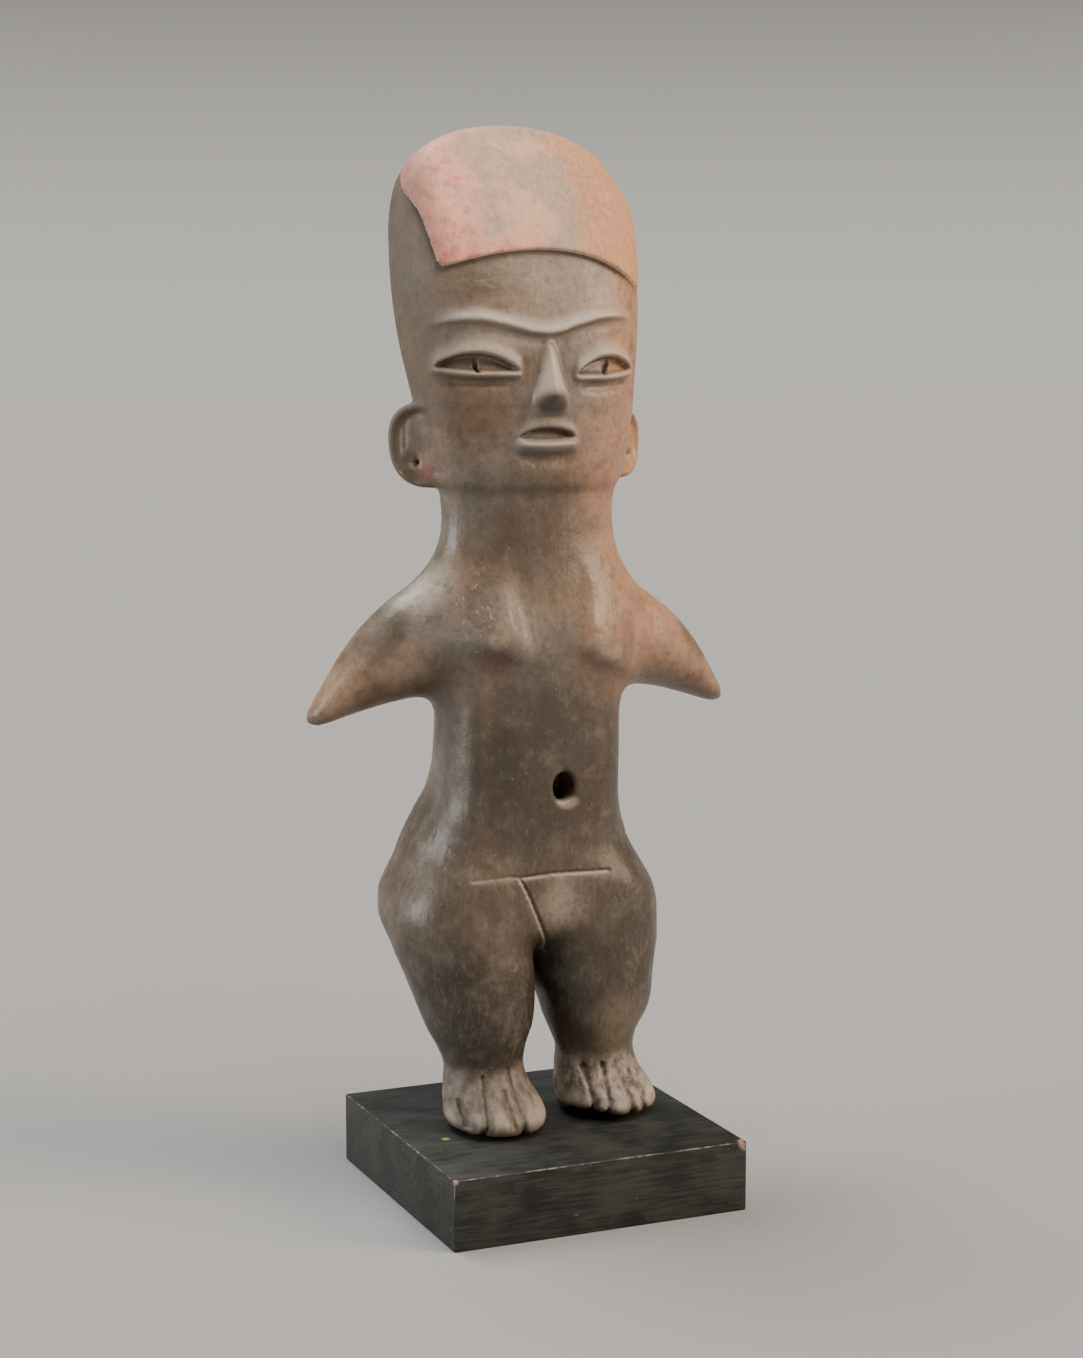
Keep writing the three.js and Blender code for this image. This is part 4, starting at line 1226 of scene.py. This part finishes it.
def burnish_marks(tree, mm, colour):
    legs = pile(tree, (band(tree, mm, "Z", 150, 118), 0.75), (0.25,))
    colour = tint(tree, colour, BURNISH, patches(tree, mm, low=0.50, high=0.84, **STROKES), legs, 0.36)
    colour = tint(tree, colour, SOOT_AND_SHADE_UNDER, patches(tree, mm, low=0.51, high=0.24, **STROKES), legs, 0.50)
    colour = tint(tree, colour, BURNISH, patches(tree, mm, low=0.54, high=0.76, **FLECKS), 0.36)
    colour = tint(tree, colour, SOOT_AND_SHADE_UNDER, patches(tree, mm, low=0.48, high=0.28, **FLECKS), 0.50)
    colour = tint(tree, colour, BURNISH, patches(tree, mm, low=0.44, high=0.86, **BLOTCHES), 0.26)
    colour = tint(tree, colour, CLAY_DARK, patches(tree, mm, low=0.50, high=0.28, **BLOTCHES), 0.45)
    colour = tint(tree, colour, BURNISH, spot(tree, mm, (-6, -6, 327), 26, 0.7, (1.3, 1, 0.6)),
                  patches(tree, mm, low=0.5, high=0.7, **BRUSHED), 0.55)
    # Painted highlights on the brow and the right lid.
    colour = lay_spots(tree, mm, colour, PAINTED_FACE_HIGHLIGHTS)
    return tint(tree, colour, CLAY_DARK, patches(tree, mm, 2.2, 0.55, 0.30, detail=5.0, rough=0.65), 0.30)


print("strokes", STROKES["size_mm"], "mm wide, flecks", FLECKS["size_mm"], "mm")

# %% [markdown]
# ## Crusted feet
#
# The feet were not burnished, and a pale crust of earth still clings to them, with brown showing at
# the edge of the soles. A mottle of a few millimetres is blended in below a wandering line.

# %% Crust on the feet
CRUST = dict(size_mm=2.8, detail=5.0, rough=0.65, stretch=(1, 1.6, 1.8), offset=(5, 5, 5))
CRUST_DARK, CRUST_PALE, RIGHT_FOOT, SOLE_BROWN = "#4e4237", "#a79a8e", "#594d42", "#574135"


def foot_cover(tree, mm):
    return overlap(tree, band(tree, mm, "Z", 52, 42, wander=(7, 14, (4, 4, 8))), 0.9)


def crusted_feet(tree, mm, colour):
    crusted = tint(tree, linear(CRUST_DARK), CRUST_PALE, patches(tree, mm, low=0.32, high=0.70, **CRUST))
    crusted = tint(tree, crusted, RIGHT_FOOT, band(tree, mm, "X", 4, -4), 0.55)
    crusted = tint(tree, crusted, SOLE_BROWN, band(tree, mm, "Z", 30.5, 28.0, wander=(5, 4, (2, 2, 2))), 0.7)
    return tint(tree, colour, crusted, foot_cover(tree, mm))


print("crust from the soles up to about", 47, "mm")

# %% [markdown]
# ## The panel's pigment
#
# The headdress panel is paler clay that was rubbed with red earth: pink on its right third and
# along the foot, grey in the middle, tan on its left, with long fine streaks of wear. The corner
# values say where the panel is, so the pigment ends just at its edge.

# %% Pigment on the panel
PANEL_GREY, PANEL_PALE, PANEL_TAN = "#b29c8b", "#deb094", "#cb9166"
PIGMENT_PINK, PIGMENT_RED, EAR_JOINT_RED = "#f9ad97", "#cc5d50", "#a8674e"
WEAR_PALE, WEAR_DARK = "#e6c3aa", "#7b6555"
RUBBED = dict(size_mm=6, detail=5.0, rough=0.7, offset=(2, 2, 7))
WEAR = dict(size_mm=1.6, detail=4.0, rough=0.6, stretch=(1, 1, 10), offset=(6, 1, 3))


def panel_pigment(tree, mm, colour):
    paint = tint(tree, linear(PANEL_PALE), PANEL_GREY,
                 patches(tree, mm, 20, 0.40, 0.60, detail=4.0, rough=0.6, offset=(1, 8, 2)))
    paint = tint(tree, paint, PANEL_TAN, band(tree, mm, "X", 6, 24, wander=(18, 30, (9, 9, 1))), 0.85)
    along_foot = overlap(tree, band(tree, mm, "Z", 347, 338, wander=(8, 8, (5, 1, 1))),
                         band(tree, mm, "X", 8, -14))
    right_third = band(tree, mm, "X", -12, -30, wander=(12, 26, (8, 3, 3)))
    red_side = either(tree, right_third, along_foot)
    paint = tint(tree, paint, PIGMENT_PINK, red_side, 0.68)
    paint = tint(tree, paint, PIGMENT_RED, red_side, patches(tree, mm, low=0.46, high=0.68, **RUBBED), 0.65)
    paint = tint(tree, paint, WEAR_PALE, patches(tree, mm, low=0.50, high=0.76, **WEAR), 0.40)
    paint = tint(tree, paint, WEAR_DARK, patches(tree, mm, low=0.50, high=0.26, **WEAR), 0.36)
    colour = tint(tree, colour, paint, add(tree, "ShaderNodeAttribute", output="Fac", attribute_name="panel"))
    ear_joint = either(tree, spot(tree, mm, (-40, 8, 262), 8, 0.9), spot(tree, mm, (-39, 6, 276), 5, 0.9))
    return tint(tree, colour, EAR_JOINT_RED, ear_joint, patches(tree, mm, low=0.4, high=0.65, **RUBBED), 0.6)


print("pigment:", PIGMENT_PINK, PIGMENT_RED)

# %% [markdown]
# ## Ridges, hollows and holes
#
# Handling rubs the ridges pale, and the ridges carry painted highlight as well. Painted shade lies in
# the hollows and on the undersides, on the side of the head, under the nose, in the navel's bore and
# in the pricked holes. The incised lines show dusty raw clay on their lower wall, which stands for
# painted highlight too, and painted shade on their upper wall, and the panel's rim has a painted
# highlight. The values stored on the corners place all of these exactly.

# %% Tones that follow the relief
RIDGE_WEAR_AND_HIGHLIGHT, SIDE_SHADE, SHADE_UNDER_NOSE, CREASE_SHADE = "#d4c7b7", "#4b3f31", "#332a20", "#2e261f"
PANEL_RIM_HIGHLIGHT, LINE_DUST_AND_HIGHLIGHT, NAVEL_LIP = "#dccab6", "#b3a596", "#a89a88"
BORE_SHADE_BLACK, BORE_BROWN, PRICKED_HOLE_SHADE = "#14100d", "#6b4630", "#120e0b"


def side_shade(tree, mm):
    """The darker right side of the head, below the ear's top and beside the panel."""
    cheek = overlap(tree, band(tree, mm, "X", -29, -41), band(tree, mm, "Z", 262, 292))
    return either(tree, cheek, spot(tree, mm, (-43, 18, 342), 20, 0.9, (1, 1, 1.5)))


def relief_tones(tree, mm, colour):
    panel, hollow, under, ridge, line, pricked = [
        add(tree, "ShaderNodeAttribute", output="Fac", attribute_name=name)
        for name in ("panel", "hollow", "under", "ridge", "line", "pricked")]
    # Ridges rubbed pale and given painted highlight, more from the nose up.
    wear_and_highlight_amount = pile(tree, (band(tree, mm, "Z", 280, 300), 0.30), (0.42,))
    colour = tint(tree, colour, RIDGE_WEAR_AND_HIGHLIGHT, ridge, wear_and_highlight_amount)
    colour = tint(tree, colour, SIDE_SHADE, side_shade(tree, mm), 0.55)
    # Painted shade under the nose.
    colour = tint(tree, colour, SHADE_UNDER_NOSE, spot(tree, mm, (0.2, -12, 285.2), 10, 0.6, (1, 1, 0.75)),
                  band(tree, mm, "Y", -8.6, -10.6), 0.85)
    # Painted shade on every surface that faces down.
    colour = tint(tree, colour, SOOT_AND_SHADE_UNDER, under, 0.40)
    # Painted shade in the creases and hollows.
    colour = tint(tree, colour, CREASE_SHADE, hollow, 0.60)
    # Painted highlight along the panel's rim.
    colour = tint(tree, colour, PANEL_RIM_HIGHLIGHT, ramp(tree, panel, 0.15, 0.55), ramp(tree, panel, 1.0, 0.8), 0.7)
    # Dust in the incised lines, laid on their lower wall as painted highlight too.
    colour = tint(tree, colour, LINE_DUST_AND_HIGHLIGHT, line, 0.75)
    # Painted shade in the pupils' slits and the pricked holes.
    return tint(tree, navel_tones(tree, mm, colour), PRICKED_HOLE_SHADE, ramp(tree, pricked, 0.25, 0.75))


def navel_tones(tree, mm, colour):
    """The bore gets painted shade in black, with brown clay on its left wall, and its lower lip is paler."""
    x, z = NAVEL
    inside = overlap(tree, spot(tree, mm, (x, -3, z), 8, 0.4, (0.7, 1.4, 0.9)),
                     band(tree, mm, "Y", -11.0, -8.0))
    bore = tint(tree, linear(BORE_SHADE_BLACK), BORE_BROWN, band(tree, mm, "X", x + 1, x + 4))
    lip = spot(tree, mm, (x + 1.2, -12, z - 5.6), 6.5, 0.6, (0.9, 1, 0.5))
    return tint(tree, tint(tree, colour, NAVEL_LIP, lip, 0.6), bore, inside)


print("relief tones:", RIDGE_WEAR_AND_HIGHLIGHT, "on ridges,", CREASE_SHADE, "in hollows")

# %% [markdown]
# ## Scrapes, shine and the feel of the surface
#
# A few small scrapes lie on the chest by the right shoulder. The burnish is glossy where the stone
# pressed and dull in the hollows, on the feet and on the panel. Bump adds what is too fine to model:
# dents 7 mm wide, the long strokes of the stone, and the grain of the clay. The real grain is finer
# than the 0.9 mm it is drawn at, which is as fine as still shows.

# %% The whole clay surface
SCRAPE = "#c0a48c"
DENTS = dict(size_mm=7.0, rough=0.6, offset=(8, 1, 8))
LONG_STROKES = dict(size_mm=3.4, detail=2.0, rough=0.5, stretch=(1, 1, 7), offset=(1, 1, 1))
CLAY_GRAIN = dict(size_mm=0.9, rough=0.6)
CLAY_BUMP = 0.75


def scrapes(tree, mm):
    nicks = patches(tree, mm, 1.5, detail=2.0, rough=0.5, stretch=(1, 1, 2.5), offset=(4, 9, 4))
    level = pile(tree, (nicks,),
                 (spot(tree, mm, (-25, -4, 212), 18, 0.6, (0.9, 1, 1.3)), 0.11),
                 (patches(tree, mm, 30, offset=(6, 6, 1)), 0.03))
    return ramp(tree, level, 0.75, 0.82)


def clay_shine(tree, mm):
    """Roughness from 0.26 to 0.42 on the burnish, up to 0.25 more where the clay is dull."""
    sheen = add(tree, "ShaderNodeMapRange", {
        "Value": patches(tree, mm, 16, rough=0.6, offset=(9, 3, 3)),
        "From Min": 0.3, "From Max": 0.7, "To Min": 0.26, "To Max": 0.42})
    hollow, panel = [add(tree, "ShaderNodeAttribute", output="Fac", attribute_name=name)
                     for name in ("hollow", "panel")]
    dull = either(tree, foot_cover(tree, mm), hollow, overlap(tree, panel, 0.8), side_shade(tree, mm))
    return pile(tree, (sheen,), (dull, 0.25), (patches(tree, mm, **STROKES), 0.12))


def make_ceramic():
    material, tree, mm = start_material("burnished earthenware")
    colour = fired_tones(tree, mm, clay_ground(tree, mm))
    colour = crusted_feet(tree, mm, burnish_marks(tree, mm, colour))
    colour = relief_tones(tree, mm, panel_pigment(tree, mm, colour))
    scraped = scrapes(tree, mm)
    colour = tint(tree, colour, SCRAPE, scraped, 0.36)
    height = pile(tree, (patches(tree, mm, **DENTS), 0.45), (patches(tree, mm, **LONG_STROKES), 0.28),
                  (patches(tree, mm, **CLAY_GRAIN), 0.10), (scraped, -0.15),
                  (foot_cover(tree, mm), patches(tree, mm, **CRUST), 0.5))
    finish_surface(tree, colour, clay_shine(tree, mm), height, CLAY_BUMP)
    return material


figure.data.materials.append(make_ceramic())
print("clay:", len(figure.active_material.node_tree.nodes), "nodes")

# %% [markdown]
# ## Painted wood
#
# The board is softwood brushed with thin charcoal-black paint. The eye gets a dull satin face with
# the grain, about 1 mm apart, showing faintly, and pale wood where the paint has worn off the edges
# and the corners. The wear could be painted by hand, but the distance to the nearest edge, made
# ragged by noise, puts it where hands and shelves rub.

# %% Worn black paint
PAINT, PAINT_LIGHT = "#212321", "#3a3c39"
BARE_EDGE, BARE_CORNER, PAINT_SPECK, YELLOW_SPOT = "#8b857b", "#9b7d72", "#8a8678", "#8d8350"
GRAIN = dict(size_mm=1.1, detail=4.0, rough=0.6, stretch=(14, 1, 1))
RAGGED = dict(size_mm=2.4, detail=5.0, rough=0.7, offset=(3, 3, 3))
PAINT_BUMP, PAINT_SHINE = 0.16, 0.22
CHIPS = [((-1, -1), 2.2), ((1, -1), 4.2)]


def edge_distance(tree, mm):
    """How far a point of the board's skin is from its nearest edge, in mm."""
    half = BASE_SIDE / 2
    x, y, z = [add(tree, "ShaderNodeSeparateXYZ", {0: mm}, output=axis) for axis in "XYZ"]
    out_x, out_y = [add(tree, "ShaderNodeMath", {0: value}, operation="ABSOLUTE") for value in (x, y)]
    from_x, from_y, from_top = [pile(tree, (limit,), (value, -1.0))
                                for limit, value in ((half, out_x), (half, out_y), (BASE_HEIGHT, z))]
    to_side = add(tree, "ShaderNodeMath", {0: from_x, 1: from_y}, operation="MINIMUM")
    upright, level = either(tree, from_x, from_y), either(tree, to_side, from_top)
    return add(tree, "ShaderNodeMath", {0: upright, 1: level}, operation="MINIMUM")


def make_painted_wood():
    material, tree, mm = start_material("worn black paint")
    grain, cloudy = patches(tree, mm, **GRAIN), patches(tree, mm, 18, rough=0.6)
    tone = pile(tree, (grain, 0.5), (cloudy, 0.5))
    colour = tint(tree, linear(PAINT), PAINT_LIGHT, ramp(tree, tone, 0.38, 0.62))
    bared = pile(tree, (patches(tree, mm, **RAGGED), 1.3),
                 (patches(tree, mm, 14, detail=2.0, rough=0.5, offset=(1, 5, 2)), 0.9),
                 (-0.72,), (edge_distance(tree, mm), -1.0))
    colour = tint(tree, colour, BARE_EDGE, ramp(tree, bared, 0.0, 0.25), band(tree, mm, "Z", 14, 22), 0.7)
    corners = [spot(tree, mm, (a * BASE_SIDE / 2, b * BASE_SIDE / 2, BASE_HEIGHT), radius, 0.5)
               for (a, b), radius in CHIPS]
    chipped = overlap(tree, either(tree, *corners), patches(tree, mm, low=0.42, high=0.52, **RAGGED))
    colour = tint(tree, colour, BARE_CORNER, chipped)
    colour = tint(tree, colour, PAINT_SPECK,
                  patches(tree, mm, 2.2, 0.74, 0.78, detail=2.0, rough=0.5, offset=(7, 7, 7)), 0.35)
    colour = tint(tree, colour, YELLOW_SPOT, spot(tree, mm, (-41.5, -11.0, BASE_HEIGHT), 1.8, 0.5))
    roughness = add(tree, "ShaderNodeMapRange", {
        "Value": cloudy, "From Min": 0.3, "From Max": 0.7, "To Min": 0.48, "To Max": 0.62})
    height = pile(tree, (grain, 0.5), (chipped, -0.8))
    finish_surface(tree, colour, roughness, height, PAINT_BUMP, shine=PAINT_SHINE)
    return material


base.data.materials.append(make_painted_wood())
print("paint:", len(base.active_material.node_tree.nodes), "nodes")

# %% [markdown]
# ## Floor and light
#
# The floor is a plain pale sheet that runs on behind the object, matt so that no lamp shows in it.
# Area lamps near a small object fall off fast and leave pools on the floor, so wide soft suns are
# used instead: one overhead, a warm one from the right front that models the face, one at the left
# that draws the bright strip down the figure's right side, and one behind for the crown.

# %% Pale floor
FLOOR_GREY = "#9a9a99"
FLOOR_REACH = 9000


def make_floor():
    corners = [(a * FLOOR_REACH, b * FLOOR_REACH, 0) for a, b in ((-1, -1), (1, -1), (1, 1), (-1, 1))]
    floor = mesh_object("studio_floor", corners, [(0, 1, 2, 3)])
    material = bpy.data.materials.new("pale floor")
    material.use_nodes = True
    shader = material.node_tree.nodes["Principled BSDF"]
    shader.inputs["Base Color"].default_value = linear(FLOOR_GREY)
    shader.inputs["Roughness"].default_value = 1.0
    shader.inputs["Specular IOR Level"].default_value = 0.1
    floor.data.materials.append(material)


make_floor()
print("floor:", 2 * FLOOR_REACH / 1000, "metres wide")

# %% Four soft suns and a pale horizon
# Name, the way towards it, strength, spread in degrees and colour.
SUNS = [
    ("overhead", (0.17, -0.36, 0.92), 2.6, 50, "#fffaf4"),
    ("key", (2.2, -1.7, 1.2), 2.5, 26, "#ffe1c4"),
    ("rim", (-2.5, 0.45, 0.5), 2.4, 32, "#f8f6f4"),
    ("crown", (-0.5, 1.1, 2.1), 2.4, 34, "#ffffff"),
]
HORIZON_LIGHT = 0.70
CEILING_LIGHT = 0.06
SKY_TONE = "#f6f1e8"


def soft_sun(name, source, strength, spread_degrees, colour):
    """A soft light from afar, so it falls evenly on the floor. The source is the way towards it."""
    data = bpy.data.lights.new(name, "SUN")
    data.energy = strength
    data.angle = math.radians(spread_degrees)
    data.color = linear(colour)[:3]
    light = bpy.data.objects.new(name, data)
    flat = math.hypot(source[0], source[1])
    light.rotation_euler = (math.atan2(flat, source[2]), 0, math.atan2(source[0], -source[1]))
    bpy.context.collection.objects.link(light)


def light_scene():
    """The world is pale at the horizon, to meet the floor, and dark overhead."""
    world = bpy.data.worlds.new("studio")
    world.use_nodes = True
    tree = world.node_tree
    direction = add(tree, "ShaderNodeTexCoord", output="Generated")
    rise = add(tree, "ShaderNodeSeparateXYZ", {0: direction}, output="Z")
    background = tree.nodes["Background"]
    background.inputs["Color"].default_value = linear(SKY_TONE)
    strength = pile(tree, (ramp(tree, rise, 0.24, -0.02), HORIZON_LIGHT - CEILING_LIGHT), (CEILING_LIGHT,))
    tree.links.new(strength, background.inputs["Strength"])
    bpy.context.scene.world = world
    for sun in SUNS:
        soft_sun(*sun)


light_scene()
print("lights:", [sun[0] for sun in SUNS])
